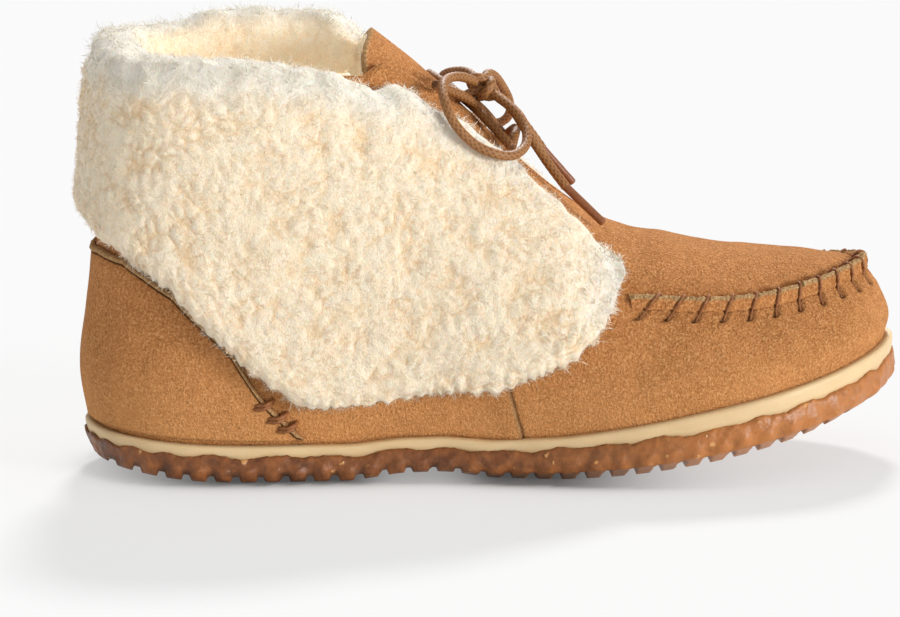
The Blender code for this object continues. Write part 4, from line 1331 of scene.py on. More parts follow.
def smooth_curve(points, step):
    """Evenly spaced points on the smooth curve through a list of points."""
    points = [np.array(v, float) for v in points]
    fine = densify(points, [24] * (len(points) - 1))
    arc = np.concatenate([[0], np.cumsum(np.linalg.norm(np.diff(fine, axis=0), axis=1))])
    places = spread(0, arc[-1], max(3, round(arc[-1] / step) + 1))
    return np.stack([np.interp(places, arc, fine[:, k]) for k in range(3)], -1)


def make_apron_seam():
    """The gathered seam round the apron: the vamp's edge stands up, turned out, with a raw strip on top."""
    seam_p, seam_arc = seam_line()
    distance = spread(0, seam_arc[-1], 780)
    p = np.interp(distance, seam_arc, seam_p)
    point, normal, up = frame_at(p, np.full(len(p), 0.5))
    half = SEAM_BEAD_WIDTH / 2
    outline = (
        (-2.30, 0.02, 0.0),
        (-1.75, 0.16, 0.0),
        (-1.35, 0.40, 0.0),
        (-1.00, 0.66, 0.0),
        (-0.72, 0.82, 0.1),
        (-0.50, 0.93, 0.9),
        (-0.10, 1.00, 1.0),
        (0.30, 0.96, 1.0),
        (0.58, 0.78, 0.8),
        (0.78, 0.45, 0.4),
        (0.92, 0.20, 0.1),
        (0.98, 0.02, 0.0),
    )
    keys, rawness = [], []
    ends = np.minimum(1.0, 0.4 + 0.6 * np.minimum(distance, seam_arc[-1] - distance) / 0.008)
    pitch = seam_arc[-1] / stitch_count()
    for out, rise, raw in outline:
        phase = stitch_phase(distance, out * half)
        pinch = np.exp(-((phase * pitch / 0.0010) ** 2))
        puff = np.cos(np.pi * phase) ** 2
        wide = out * half * (1.0 - 0.26 * pinch) + np.where(out < 0, 0.0006 * (1 - puff), 0.0)
        tall = rise * SEAM_BEAD_HEIGHT * ends * (1.0 - 0.34 * pinch - 0.14 * (1 - puff))
        keys.append(point + up * wide[:, None] + normal * (CLEARANCE + tall)[:, None])
        rawness.append(np.full(len(p), raw))
    rows = densify(keys, [2] * (len(keys) - 1))
    raw = densify(rawness, [2] * (len(keys) - 1))
    normals = grid_normals(rows)
    crumbs = noise_at(rows, 0.0012, 4.0) + 0.6 * noise_at(rows, 0.0006, 8.0)
    rows = rows + normals * ((0.00046 * raw + 0.00010) * crumbs)[..., None]
    base = np.stack([rows[-1] - normal * 0.0002, rows[0] - normal * 0.0002])
    rows = np.concatenate([rows, base])
    faces = grid_faces(len(rows), len(p), closed_rows=True)
    # Painted shade in the pits between the raw strip's crumbs.
    pits = 0.18 * raw * ramp(-crumbs, 0.2, 0.6)
    plain = np.zeros(base.shape[:2])
    fields = {"raw": np.concatenate([raw, plain]), "dark": np.concatenate([pits, plain])}
    mesh = new_mesh("apron_seam_suede", rows, faces, fields)
    return add_piece("apron_seam_suede", mesh, suede(), "suede_seam", "apron_seam")


def make_seam_stitches():
    """The thread that whips the apron's seam, one leaning stitch after another."""
    seam_p, seam_arc = seam_line()
    count = stitch_count()
    reach = sizes().stitch_reach
    radius = sizes().thread_diameter / 2
    low = (-reach, -0.93 * reach, -0.62 * reach)
    heights = np.array([*low, -0.0030, -0.0016, 0.0, 0.0012, 0.0019, 0.0028])
    lifts = np.array([-0.0018, -0.0009, -0.0007, 0.0004, 0.0021, 0.0029, 0.0024, 0.0009, -0.0008])
    parts = []
    for k in range(1, count):
        middle = seam_arc[-1] * k / count
        ends = min(1.0, 0.4 + 0.6 * min(middle, seam_arc[-1] - middle) / 0.008)
        distances = middle + stitch_lean(middle) * heights / reach
        p = np.interp(distances, seam_arc, seam_p)
        speed = rise_speed(p, 0.5)
        route = skin(p, 0.5 + heights / speed, lifts * np.where(lifts > 0.001, ends, 1.0) + radius * 0.2)
        route = smooth_curve(route, 0.0004)
        twist = np.arange(len(route))[:, None] * 0.9 + np.arange(8)[None] * math.tau / 4
        parts.append(tube_parts(route, radius * (0.92 + 0.14 * np.cos(twist)), 8))
    points, faces = join_parts(parts)
    mesh = welded_mesh("apron_stitches", points, faces)
    return add_piece("apron_stitches", mesh, seam_thread(), "lace_cord")


def make_counter_stitches():
    """Three double whip stitches, lying level, over the counter's seam on each side just above the sole."""
    radius = 0.00070
    parts = []
    for side in (-1, 1):
        for station in (4.17, 4.32, 4.43):
            for twin in (-1, 1):
                reach = np.array([-0.0030, -0.0024, -0.0012, 0.0004, 0.0018, 0.0024])
                rise = np.array([-0.0006, -0.0005, -0.0002, 0.0003, 0.0008, 0.0009]) + twin * 0.00060
                lifts = np.array([-0.0004, 0.0014, 0.0024, 0.0030, 0.0016, -0.0004])
                p = station + (reach + 0.0006 + twin * 0.0002) / (0.0925 * LENGTH)
                centre = counter_edge_t(station) - 0.030
                tall = rise_speed(station, centre)
                route = smooth_curve(skin(side * p, centre + rise / tall, lifts), 0.0003)
                twist = np.arange(len(route))[:, None] * 0.7 + np.arange(8)[None] * math.tau / 4
                parts.append(tube_parts(route, radius * (0.92 + 0.14 * np.cos(twist)), 8))
    points, faces = join_parts(parts)
    mesh = welded_mesh("counter_stitches", points, faces)
    return add_piece("counter_stitches", mesh, seam_thread(), "lace_cord")


# Tongue


def tongue_rows(stations, lower=0.0):
    """Points across the tongue, under both facings and crowned up through the gap between them."""
    under = -(UPPER_WALL + 3 * CLEARANCE) - lower
    outer, inner = stations, LOOP - stations
    full = np.full(len(stations), under)
    left, right = (skin(p, np.ones(len(p)), full - CLEARANCE) for p in (outer, inner))
    half_gap = np.linalg.norm(right - left, axis=-1) / 2
    middle = (left + right) / 2
    narrow = (half_gap < 0.002)[:, None]
    low_left, low_right = (skin(p, np.full(len(p), 0.95), full) for p in (outer, inner))
    left, right = np.where(narrow, low_left, left), np.where(narrow, low_right, right)
    slope = surface(outer, 1.0) - surface(outer + 0.2, 1.0)
    up = unit(np.stack([-slope[:, 2], np.zeros(len(outer)), slope[:, 0]], -1))
    up = up * np.where(up[:, 2] > 0, 1, -1)[:, None]
    middle = middle + up * (TONGUE_CROWN * half_gap)[:, None]
    near, far = (
        [skin(p, np.full(len(p), t), full) for t in (TONGUE_EDGE, 0.9)] for p in (outer, inner)
    )
    return [near[0], near[1], left, middle, right, far[1], far[0]]


def tongue_sheet(stations, columns, lower=0.0):
    """A grid over the tongue from its hidden end to its top edge, and past it by the top's rise."""
    keys = tongue_rows(stations, lower)
    grid = densify(keys, [columns] * (len(keys) - 1)).transpose(1, 0, 2)
    across = spread(0, 1, grid.shape[1])
    step = unit(grid[-1] - grid[-4])
    top = [grid[-1] + step * (TONGUE_RISE * u * np.sin(np.pi * across))[:, None] for u in spread(0.2, 1, 6)]
    return np.concatenate([grid, np.stack(top)])


def make_tongue():
    """The suede tongue: a soft, gently uneven sheet with raw edges."""
    stations = spread(TONGUE_START, TONGUE_END, 90)
    outer = tongue_sheet(stations, 9)
    normals = grid_normals(outer)
    normals *= np.sign(normals[:, normals.shape[1] // 2, 2].mean())
    relief = 0.00035 * noise_at(outer, 0.012, 1.0)
    outer = outer + normals * relief[..., None]
    inner = outer - normals * TONGUE_WALL
    rows, columns = outer.shape[:2]
    points = np.concatenate([outer.reshape(-1, 3), inner.reshape(-1, 3)])
    sheet = grid_faces(rows, columns)
    index = np.arange(rows * columns).reshape(rows, columns)
    border = np.concatenate([index[0, :-1], index[:-1, -1], index[-1, :0:-1], index[:0:-1, 0]])
    after = np.roll(border, -1)
    wall = np.stack([border, after, after + rows * columns, border + rows * columns], -1)
    faces = np.concatenate([sheet, sheet[:, ::-1] + rows * columns, wall[:, ::-1]])
    from_edge = np.repeat(np.arange(rows)[::-1], columns)
    raw = np.concatenate([np.clip(1 - from_edge / 1.5, 0, 1) * 0.8, np.where(from_edge < 1, 1.0, 0.0)])
    mesh = new_mesh("tongue_suede", points, faces, {"raw": raw, "dark": np.zeros(len(points))})
    face_outwards(mesh)
    return add_piece("tongue_suede", mesh, suede(), "suede", "tongue")


# Fleece


def roll_rise(p):
    """How high the roll stands: pressed down on the outer side, full at the heel and on the inner side."""
    near = [table_value(ROLL_HEIGHTS, p + shift, 1) for shift in (-0.2, 0.0, 0.2)]
    return ROLL_RISE * np.mean(near, axis=0)


def roll_point(p, out, up):
    """Points over the collar's edge: out from the wall's outer face, up above the edge."""
    points, normals, _ = frame_at(p, np.ones(len(p)))
    level = unit(normals * (1, 1, 0))
    out = np.broadcast_to(out, p.shape)[:, None]
    return points + level * out + np.array([0, 0, 1.0]) * np.broadcast_to(up, p.shape)[:, None]


def lining_thickness(station):
    return LINING_THICKNESS * (0.55 + 0.45 * ramp(LINING_FRONT - station, 0.0, 1.2))


def cuff_keys(p):
    """Key rows of the cuff: round lower edge, outer face, over the roll and down inside the collar."""
    station = station_of(p)
    low, high = (table_value(CUFF_EDGES, station, k) for k in (1, 2))
    front = 1 - ramp(station, CUFF_FRONT - 1.1, CUFF_FRONT)
    thickness = CUFF_THICKNESS * (0.5 + 0.5 * front) * (0.84 + 0.16 * ramp(station, 0.6, 2.6))
    rolled = 1 - ramp(station - np.where(p < 0, 0.6, 0.0), COLLAR_FRONT - 1.0, COLLAR_FRONT)
    rolled = rolled[:, None]
    gap = np.full(len(p), FLEECE_CLEARANCE)
    inside = UPPER_WALL + CLEARANCE
    deep = lining_thickness(station)
    low = low + CUFF_TUFTS * np.abs(np.sin(19 * p + 1.5 * np.sin(5 * p)))
    rows = [skin(p, low + 0.1 * (high - low), gap), skin(p, low, gap)]
    rows += [skin(p, low - 0.010 * front, 0.45 * thickness), skin(p, low, 0.85 * thickness)]
    for share in spread(0.06, 0.95, 9):
        rows.append(skin(p, low + share * (high - low), thickness + CUFF_LOCK * front))
    for out, up in ((0.86, 0.30), (0.62, 0.80), (0.0, 1.0)):
        over = roll_point(p, np.maximum(out * thickness, gap), up * roll_rise(p))
        side = skin(p, high, np.maximum(0.8 * out * thickness, gap))
        rows.append(side * (1 - rolled) + over * rolled)
    for depth, up in ((0.45, 1.0), (0.85, 0.70), (1.05, 0.10), (1.05, -0.80), (0.85, -1.6), (0.2, -1.9)):
        over = roll_point(p, -(inside + depth * deep), up * roll_rise(p))
        rows.append(skin(p, high - 0.02 * depth, gap) * (1 - rolled) + over * rolled)
    return rows


def make_pile(name, rows, shown, edge, inner, *nodes):
    """A fleece body: its shown rows are raised in curls. Gives what fibres need to grow on it."""
    curl = np.full(rows.shape[:2], 0.5)
    first, last = shown
    curl[first:last] = curl_height(rows[first:last])
    calm = 1 - 0.72 * edge
    fade = np.zeros(len(rows))
    fade[first:last] = np.minimum(1, np.minimum(np.arange(last - first), np.arange(last - first)[::-1]) / 4)
    normals = grid_normals(rows)
    swell = 0.0007 * noise_at(rows, 0.018, 6.0) + 0.0012 * edge * noise_at(rows, 0.0060, 33.0)
    relief = (sizes().curl_height * (curl - 0.60) * calm + swell) * fade[:, None]
    rows = rows + normals * relief[..., None]
    inner = np.broadcast_to(inner, edge.shape)
    faces = grid_faces(rows.shape[0], rows.shape[1], closed_rows=True)
    fields = {"curl": curl, "edge": edge, "inner": inner}
    mesh = new_mesh(name, rows, faces, fields)
    close_ends(mesh, *rows.shape[:2])
    add_piece(name, mesh, fleece(), "fleece", *nodes)
    fields["points"] = rows
    return {field: values[first:last] for field, values in fields.items()}


def pick(field, row, col, u, v):
    """Values of a grid between its points."""
    shape = (-1,) + (1,) * (field.ndim - 2)
    u, v = u.reshape(shape), v.reshape(shape)
    low = field[row, col] * (1 - u) + field[row, col + 1] * u
    high = field[row + 1, col] * (1 - u) + field[row + 1, col + 1] * u
    return low * (1 - v) + high * v


def make_fibres(name, pile, count, seed, length=1.0):
    """Wool fibres over a pile: each a thin bent blade that swirls round its curl and lifts off at its tip."""
    random = np.random.default_rng(seed)
    points, curl, edge = pile["points"], pile["curl"], pile["edge"]
    normals = -grid_normals(points)
    rise = np.stack(np.gradient(curl), -1)
    tangent_rows, tangent_columns = np.gradient(points, axis=0), np.gradient(points, axis=1)
    uphill = unit(tangent_rows * rise[..., :1] + tangent_columns * rise[..., 1:] + 1e-9)
    a = points[1:, :-1] - points[:-1, :-1]
    b = points[:-1, 1:] - points[:-1, :-1]
    area = np.linalg.norm(np.cross(a, b), axis=-1) * (1 + 0.6 * edge[:-1, :-1])
    chosen = random.choice(area.size, count, p=(area / area.sum()).ravel())
    row, col = np.divmod(chosen, area.shape[1])
    u, v = random.random(count), random.random(count)
    root = pick(points, row, col, u, v)
    normal = unit(pick(normals, row, col, u, v))
    slope = pick(uphill, row, col, u, v)
    height, rim = pick(curl, row, col, u, v), pick(edge, row, col, u, v)
    inner = pick(pile["inner"], row, col, u, v)
    turn = random.normal(1.0, 0.7, count)[:, None]
    flow = slope * np.cos(turn) + np.cross(normal, slope) * np.sin(turn)
    tuft = np.stack([noise_at(root, 0.0030, shift) for shift in (5.0, 25.0, 45.0)], -1)
    drift = unit(random.normal(0, 0.8, (count, 3)) + 2.6 * tuft)
    flow = unit(flow - normal * (flow * normal).sum(-1, keepdims=True) + 0.55 * drift)
    bushy = np.clip(0.9 + 1.1 * noise_at(root, 0.0042, 60.0), 0.45, 1.5)
    long = sizes().fibre_length * length * (0.55 + 0.6 * random.random(count)) * (0.55 + 0.75 * rim * bushy)
    lift = (0.14 + 0.30 * random.random(count) + 0.55 * rim * random.random(count))[:, None]
    first = unit(flow + normal * lift)
    second = unit(flow * (1 - 0.4 * lift) + normal * lift * 0.8 + 0.8 * unit(random.normal(0, 1, (count, 3))))
    side = unit(np.cross(first, normal) + 0.25 * drift)
    wide = (sizes().fibre_width * (0.7 + 0.6 * random.random(count)))[:, None] / 2
    low = root - normal * 0.0003
    middle = low + first * (0.5 * long)[:, None]
    tip = middle + second * (0.5 * long)[:, None]
    blade = np.stack([low, middle + side * wide, middle - side * wide, tip], 1)
    base = np.arange(count)[:, None] * 4
    corners = np.array([[0, 1, 2], [2, 1, 3]]).reshape(1, 6)
    faces = (base + corners).reshape(-1, 3)
    paler = np.array([-0.15, 0.1, 0.1, 0.3])
    tone = np.clip(height[:, None] + random.normal(0, 0.14, (count, 1)) + paler, 0, 1)
    fields = {"curl": tone, "edge": np.repeat(rim, 4), "inner": np.repeat(inner, 4)}
    mesh = new_mesh(name, blade, faces, fields)
    soft = unit(normal[:, None] + 0.35 * unit(blade - low[:, None] + 1e-9))
    add_piece(name, mesh, wool_fibre(), "fleece")
    mesh.normals_split_custom_set_from_vertices(soft.reshape(-1, 3).tolist())


def along_rows(rows):
    """Distance along each column of a grid, from its first row and from its last."""
    steps = np.linalg.norm(np.diff(rows, axis=0), axis=-1)
    start = np.concatenate([np.zeros((1, rows.shape[1])), np.cumsum(steps, axis=0)])
    return start, start[-1:] - start


def make_cuff():
    """The folded fleece cuff, and the wool on it in several pieces."""
    p = spread(-CUFF_FRONT, CUFF_FRONT, 450)
    keys = cuff_keys(p)
    rows = densify(keys, [1, 4, 5] + [12] * 9 + [5, 4, 4, 4, 4, 4, 3, 3, 3])
    first, last = 1, len(rows) - 3
    from_low = along_rows(rows[first:last])[0]
    up = rows[first:last, :, 2]
    crest = up.max(axis=0)
    from_high = np.where(np.arange(last - first)[:, None] > np.argmax(up, axis=0), 0.0, crest - up)
    station = station_of(p)
    from_high = from_high + 0.010 * ramp(station, 6.6, 8.4)
    from_front = (CUFF_FRONT - station) * 0.016
    edge = np.zeros(rows.shape[:2])
    near = np.minimum(from_low * 1.7, np.minimum(from_high * 0.85, from_front))
    edge[first:last] = 1 - ramp(near + 0.0026 * noise_at(rows[first:last], 0.010, 8.0), 0.0030, 0.0135)
    # Inside the collar, past the roll's crest: this wool gets a painted glow, and its edges are less pale.
    past_crest = np.arange(len(rows))[:, None] - first - np.argmax(up, axis=0)
    inner = ramp(past_crest, 1, 12) * (1 - ramp(station, COLLAR_FRONT - 0.4, COLLAR_FRONT + 0.6))
    edge = edge * (1 - 0.7 * inner)
    pile = make_pile("cuff_fleece", rows, (first, last), edge, inner, "fleece_cuff")
    for k in range(3):
        make_fibres(f"cuff_wool_{k + 1}", pile, sizes().cuff_fibres, 11 + k)


def lining_keys(p):
    """Key rows of the fleece inside the collar, from under the cuff's roll down into the boot."""
    thickness = lining_thickness(station_of(p))
    inside = np.full(len(p), -(UPPER_WALL + CLEARANCE))
    rise = roll_rise(p)
    rows = [roll_point(p, inside, -0.2 * rise), roll_point(p, inside - 0.5 * thickness, 0.1 * rise)]
    for share in spread(0.97, LINING_LOW + 0.03, 5):
        rows.append(skin(p, np.full(len(p), share), inside - thickness - 0.0004))
    rows.append(skin(p, np.full(len(p), LINING_LOW - 0.01), inside - 0.5 * thickness))
    rows.append(skin(p, np.full(len(p), LINING_LOW), inside))
    return rows


def make_lining():
    """The fleece inside the collar and its wool. It runs on to the tongue."""
    p = spread(-LINING_FRONT - 0.8, LINING_FRONT + 0.2, 280)
    rows = densify(lining_keys(p), [3, 4, 10, 10, 10, 10, 4, 2])
    first, last = 1, len(rows) - 3
    edge = np.zeros(rows.shape[:2])
    # The lining's wool gets the painted glow all over.
    pile = make_pile("lining_fleece", rows, (first, last), edge, 1.0, "fleece_collar_lining")
    make_fibres("lining_wool", pile, sizes().lining_fibres, 31, 1.3)


def make_tongue_lining():
    """The fleece on the tongue's inner face, which shows behind its top edge."""
    sheet = tongue_sheet(spread(7.2, TONGUE_END, 46), 12)
    normals = grid_normals(sheet)
    normals *= np.sign(normals[:, normals.shape[1] // 2, 2].mean())
    across = np.sin(np.pi * spread(0, 1, sheet.shape[1])) ** 0.4
    along = np.sin(np.pi * spread(0.03, 1, sheet.shape[0])) ** 0.3
    deep = 0.0046 * across[None] * along[:, None]
    inner = sheet - normals * (TONGUE_WALL + 0.0001)
    rows = np.concatenate([inner, (inner - normals * deep[..., None])[::-1]])
    first, last = len(inner) - 1, len(rows) - 1
    edge = np.full(rows.shape[:2], 0.35)
    # The tongue's wool gets a weaker painted glow.
    pile = make_pile("tongue_fleece", rows, (first, last), edge, 0.6)
    make_fibres("tongue_wool", pile, sizes().tongue_fibres, 47, 1.2)


# Lace


def outside_knot(points, margin):
    """Whether points of a lace's centre line are clear of the knot."""
    local = (points - np.array(KNOT)) @ np.array(Matrix.Rotation(-KNOT_TILT, 3, "Y")).T
    return ((local / (np.array(KNOT_SIZE) + margin)) ** 2).sum(-1) > 1


def braid(route, diameter):
    """Points, quads and strand heights of a round braid along a route."""
    sides, strands = 20, 5
    place = np.concatenate([[0], np.cumsum(np.linalg.norm(np.diff(route, axis=0), axis=1))])
    angles = np.arange(sides) * math.tau / sides
    turn = place[:, None] * math.tau / (3.4 * diameter)
    one = np.cos(strands * angles[None] + strands * turn)
    other = np.cos(strands * angles[None] - strands * turn)
    strand = np.maximum(one, other)
    radii = diameter / 2 * (0.95 + 0.09 * strand)
    points, faces = tube_parts(route, radii, sides)
    ends = np.zeros((1, sides))
    return points, faces, np.concatenate([ends, 0.5 + 0.5 * strand, ends]).ravel()


def add_lace(name, routes, node):
    """Lengths of lace in one piece."""
    braids = [braid(route, sizes().lace_diameter) for route in routes]
    points, faces = join_parts([(points, faces) for points, faces, _ in braids])
    mesh = welded_mesh(name, points, faces, {"strand": np.concatenate([strand for _, _, strand in braids])})
    return add_piece(name, mesh, lace_cord(), "lace_cord", node)


def add_free_lace(name, route, node):
    """A free length of lace."""
    piece = add_lace(name, [route], node)
    path = route - (HEEL_TO_ORIGIN, 0, 0)


def loop_route(points):
    """A loop's route, from where it leaves the knot to where it comes back."""
    fine = smooth_curve(points, LACE_STEP)
    return fine[outside_knot(fine, -0.0010)]


def add_aglet(name, ends, node):
    """The sleeve that closes the lace's tip."""
    start, end = (np.array(v) for v in ends)
    along = unit(end - start)
    route = np.stack([start + along * s for s in spread(-0.0008, np.linalg.norm(end - start), 60)])
    radius = sizes().aglet_diameter / 2
    wobble = 1 + 0.03 * noise_at(route, 0.003)
    radii = radius * wobble * np.interp(np.arange(60), [0, 1, 57, 59], [1.0, 1.04, 1.0, 0.82])
    creased = radii[:, None] * (1 + 0.035 * np.cos(3 * np.arange(16)[None] * math.tau / 16 + 0.5))
    points, faces = tube_parts(route, creased, 16)
    mesh = welded_mesh(name, points, faces)
    return add_piece(name, mesh, aglet_sleeve(), "aglet", node)


def eyelet(name, side, lift):
    station, share = EYELETS[name]
    place = station if side == "outer" else LOOP - station
    return skin(np.array([place]), np.array([share]), np.array([lift]))[0]


def make_crossing():
    """The lace over the tongue: a bar between the lower eyelets, two strands that cross, two to the knot."""
    lift = sizes().lace_diameter / 2 + LACE_LIFT
    low_outer, low_inner = (eyelet("lower", side, lift) for side in ("outer", "inner"))
    high_outer, high_inner = (eyelet("upper", side, lift) for side in ("outer", "inner"))
    rise = unit(np.array([0.55, 0, 1]))
    dip, knot = np.array(TIE_DIP), np.array(KNOT)
    routes = [
        [low_outer, (low_outer + high_inner) / 2 + rise * CROSSING_RISE, high_inner],
        [low_inner, (low_inner + high_outer) / 2 + rise * (CROSSING_RISE + 0.0012), high_outer],
        [low_outer, (low_outer + low_inner) / 2 + rise * BAR_RISE, low_inner],
        [high_outer, high_outer * 0.5 + dip * 0.5 + rise * TIE_RISE, dip, knot],
        [high_inner, high_inner * 0.5 + dip * 0.5 + rise * TIE_RISE, dip + (0, 0.0008, 0.0006), knot],
    ]
    return add_lace("lace_over_tongue", [smooth_curve(route, LACE_STEP) for route in routes], "lace_crossing")


def make_knot():
    """The bow's knot: the lace wraps once round the two loops, over a tight core."""
    turn = np.array(Matrix.Rotation(KNOT_TILT, 3, "Y"))
    angles = spread(-0.35 * math.pi, 1.75 * math.pi, 60)
    diameter = sizes().lace_diameter
    wide = [size - diameter * 0.42 for size in KNOT_SIZE]
    wrap = np.stack([0.0016 * np.sin(angles * 0.5), wide[1] * np.cos(angles), wide[2] * np.sin(angles)], -1)
    cross = np.stack(
        [wide[0] * np.cos(angles), 0.0012 * np.sin(2 * angles), 0.75 * wide[2] * np.sin(angles)], -1
    )
    routes = [smooth_curve(local @ turn.T + np.array(KNOT), LACE_STEP) for local in (wrap, cross)]
    return add_lace("bow_knot", routes, "lace_knot")


def make_laces():
    """The whole lace: crossing, knot, two loops and two ends with their tips."""
    make_crossing()
    knot = make_knot()
    near_tip = add_aglet("tip_near", NEAR_AGLET, "aglet_near")
    far_tip = add_aglet("tip_far", FAR_AGLET, "aglet_far")
    add_free_lace("bow_loop_near", loop_route(NEAR_LOOP), "lace_loop_near")
    add_free_lace("bow_loop_far", loop_route(FAR_LOOP), "lace_loop_far")
    add_free_lace("bow_end_near", smooth_curve(NEAR_END, LACE_STEP), "lace_end_near")
    add_free_lace("bow_end_far", smooth_curve(FAR_END, LACE_STEP), "lace_end_far")


# Floor, light and camera

CAMERA_AZIMUTH = math.radians(-4)
CAMERA_ELEVATION = math.radians(10)
CAMERA_DISTANCE = 1.3
CAMERA_TARGET = Vector((0.0653, 0.0, 0.0490))
CAMERA_LENS = 163.15
CONTACT_REACH = 0.0045
FLOOR_SIZE = 12.0


def direction(azimuth, elevation):
    return Vector(
        (
            math.sin(azimuth) * math.cos(elevation),
            -math.cos(azimuth) * math.cos(elevation),
            math.sin(elevation),
        )
    )


def make_camera():
    lens = bpy.data.cameras.new("camera")
    lens.lens = CAMERA_LENS
    lens.sensor_width = 36.0
    lens.clip_start, lens.clip_end = 0.05, 50.0
    camera = bpy.data.objects.new("camera", lens)
    back = direction(CAMERA_AZIMUTH, CAMERA_ELEVATION)
    camera.location = CAMERA_TARGET + back * CAMERA_DISTANCE
    camera.rotation_euler = (-back).to_track_quat("-Z", "Y").to_euler()
    bpy.context.scene.collection.objects.link(camera)
    bpy.context.scene.camera = camera


def contact_shade(x, y):
    """How much the sole keeps the light off the floor: full under it, and gone a little way beyond."""
    outer, inner = plan_point(spread(0, TOE, 120)), plan_point(spread(LOOP, TOE, 120))
    inside = (y > np.interp(x, outer[:, 0], outer[:, 1])) & (y < np.interp(x, inner[:, 0], inner[:, 1]))
    inside &= (x > 0) & (x < LENGTH)
    edge = np.concatenate([outer, inner])
    away = np.hypot(x[..., None] - edge[:, 0], y[..., None] - edge[:, 1]).min(-1)
    away = np.where(inside, 0.0, away)
    lifted = sole_bottom(np.clip(x, 0, LENGTH))
    return 0.9 * np.exp(-away / CONTACT_REACH) * np.exp(-1.5 * lifted / CONTACT_REACH)


def make_floor():
    """A large plain floor, with a finer mesh round the boot that holds its contact shade."""

    def line(start, end):
        far, gap, fine = FLOOR_SIZE / 2, 0.01, 0.0025
        coarse = spread(-far, start - gap, 9), spread(end + gap, far, 9)
        return np.concatenate([coarse[0], np.arange(start, end, fine), coarse[1]])

    x_line, y_line = line(-0.04, 0.31), line(-0.09, 0.09)
    x, y = np.meshgrid(x_line, y_line)
    points = np.stack([x, y, np.zeros_like(x)], -1)
    mesh = new_mesh("floor", points, grid_faces(len(y_line), len(x_line)), {"contact": contact_shade(x, y)})
    mesh.materials.append(studio_floor())
    floor = bpy.data.objects.new("floor", mesh)
    bpy.context.scene.collection.objects.link(floor)


def make_sun(name, azimuth, elevation, energy, width):
    """A distant light; its width, in degrees, softens the shadows' edges."""
    sun = bpy.data.lights.new(name, "SUN")
    sun.energy = energy
    sun.angle = math.radians(width)
    lamp = bpy.data.objects.new(name, sun)
    towards = direction(math.radians(azimuth), math.radians(elevation))
    lamp.rotation_euler = towards.to_track_quat("Z", "Y").to_euler()
    bpy.context.scene.collection.objects.link(lamp)


def make_light():
    """Even light from all sides, a soft main light from the front right, and one from behind and above."""
    world = bpy.data.worlds.new("studio")
    bpy.context.scene.world = world
    world.use_nodes = True
    background = world.node_tree.nodes["Background"]
    background.inputs["Color"].default_value = (1.0, 1.0, 1.0, 1.0)
    background.inputs["Strength"].default_value = 0.50
    make_sun("main_light", 54, 6, 2.95, 24)
    make_sun("back_light", 172, 44, 2.94, 9)
    view = bpy.context.scene.view_settings
    view.view_transform = "Standard"
    view.look = "None"


# Operators and the panel


class BOOT_OT_stage(bpy.types.Operator):
    """Adds the camera, the floor and the light"""

    bl_idname = "boot.stage"
    bl_label = "Studio"

    def execute(self, context):
        make_camera()
        make_floor()
        make_light()
        return {"FINISHED"}


class BOOT_OT_laces(bpy.types.Operator):
    """Adds the lace over the tongue and the bow"""

    bl_idname = "boot.laces"
    bl_label = "Laces"

    def execute(self, context):
        make_laces()
        return {"FINISHED"}


class BOOT_OT_sole(bpy.types.Operator):
    """Adds the gum outsole, the cream midsole and the fleece footbed"""

    bl_idname = "boot.sole"
    bl_label = "Sole"

    def execute(self, context):
        make_outsole()
        make_midsole()
        make_insole()
        return {"FINISHED"}


class BOOT_OT_upper(bpy.types.Operator):
    """Adds the suede upper with its quarter seam and creases"""

    bl_idname = "boot.upper"
    bl_label = "Upper"

    def execute(self, context):
        make_upper()
        return {"FINISHED"}


class BOOT_OT_counter(bpy.types.Operator):
    """Adds the heel counter and the stitches over its edge"""

    bl_idname = "boot.counter"
    bl_label = "Heel counter"

    def execute(self, context):
        make_counter()
        make_counter_stitches()
        return {"FINISHED"}


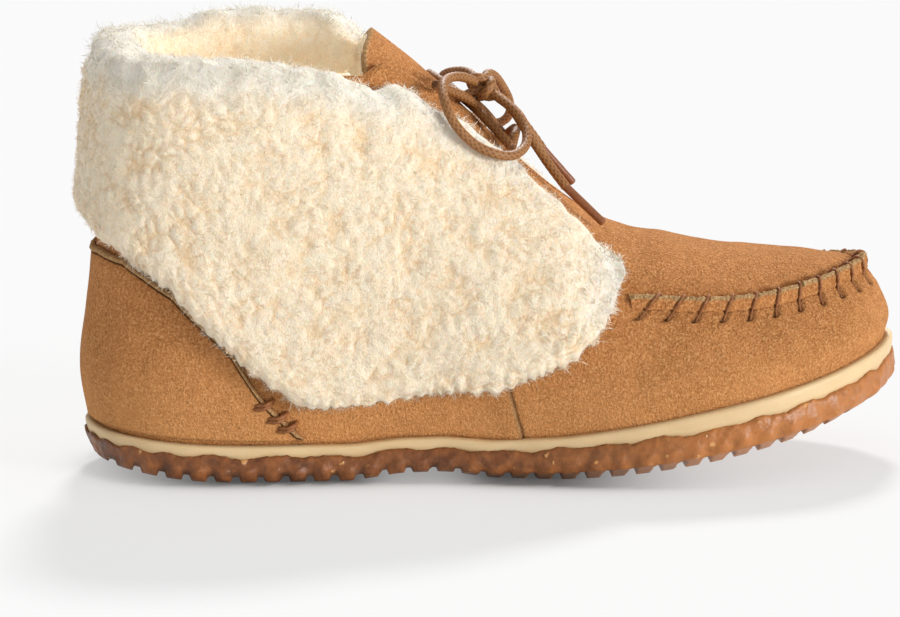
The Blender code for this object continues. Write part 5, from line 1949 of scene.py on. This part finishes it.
class BOOT_OT_apron_seam(bpy.types.Operator):
    """Adds the gathered seam round the apron and its thread"""

    bl_idname = "boot.apron_seam"
    bl_label = "Apron seam"

    def execute(self, context):
        make_apron_seam()
        make_seam_stitches()
        return {"FINISHED"}


class BOOT_OT_tongue(bpy.types.Operator):
    """Adds the suede tongue and the fleece behind it"""

    bl_idname = "boot.tongue"
    bl_label = "Tongue"

    def execute(self, context):
        make_tongue()
        make_tongue_lining()
        return {"FINISHED"}


class BOOT_OT_lining(bpy.types.Operator):
    """Adds the fleece inside the collar"""

    bl_idname = "boot.lining"
    bl_label = "Collar lining"

    def execute(self, context):
        make_lining()
        return {"FINISHED"}


class BOOT_OT_cuff(bpy.types.Operator):
    """Adds the folded fleece cuff and its wool"""

    bl_idname = "boot.cuff"
    bl_label = "Fleece cuff"

    def execute(self, context):
        make_cuff()
        return {"FINISHED"}


OPERATORS = (
    BOOT_OT_stage,
    BOOT_OT_laces,
    BOOT_OT_sole,
    BOOT_OT_upper,
    BOOT_OT_counter,
    BOOT_OT_apron_seam,
    BOOT_OT_tongue,
    BOOT_OT_lining,
    BOOT_OT_cuff,
)


class BOOT_PT_finish(bpy.types.Panel):
    """Lists the boot's sizes, colours and pieces"""

    bl_idname = "BOOT_PT_finish"
    bl_label = "Moccasin boot"
    bl_space_type = "VIEW_3D"
    bl_region_type = "UI"
    bl_category = "Boot"

    def draw(self, context):
        layout = self.layout
        for group in (context.scene.boot_sizes, context.scene.boot_colours):
            for name in group.__annotations__:
                layout.prop(group, name)
        for operator in OPERATORS:
            layout.operator(operator.bl_idname)


CLASSES = (BootSizes, BootColours, *OPERATORS, BOOT_PT_finish)


def register():
    for item in CLASSES:
        bpy.utils.register_class(item)
    bpy.types.Scene.boot_sizes = PointerProperty(type=BootSizes)
    bpy.types.Scene.boot_colours = PointerProperty(type=BootColours)


def unregister():
    del bpy.types.Scene.boot_colours
    del bpy.types.Scene.boot_sizes
    for item in reversed(CLASSES):
        bpy.utils.unregister_class(item)


def main():
    register()
    for operator in OPERATORS:
        group, name = operator.bl_idname.split(".")
        getattr(getattr(bpy.ops, group), name)()


if __name__ == "__main__":
    main()
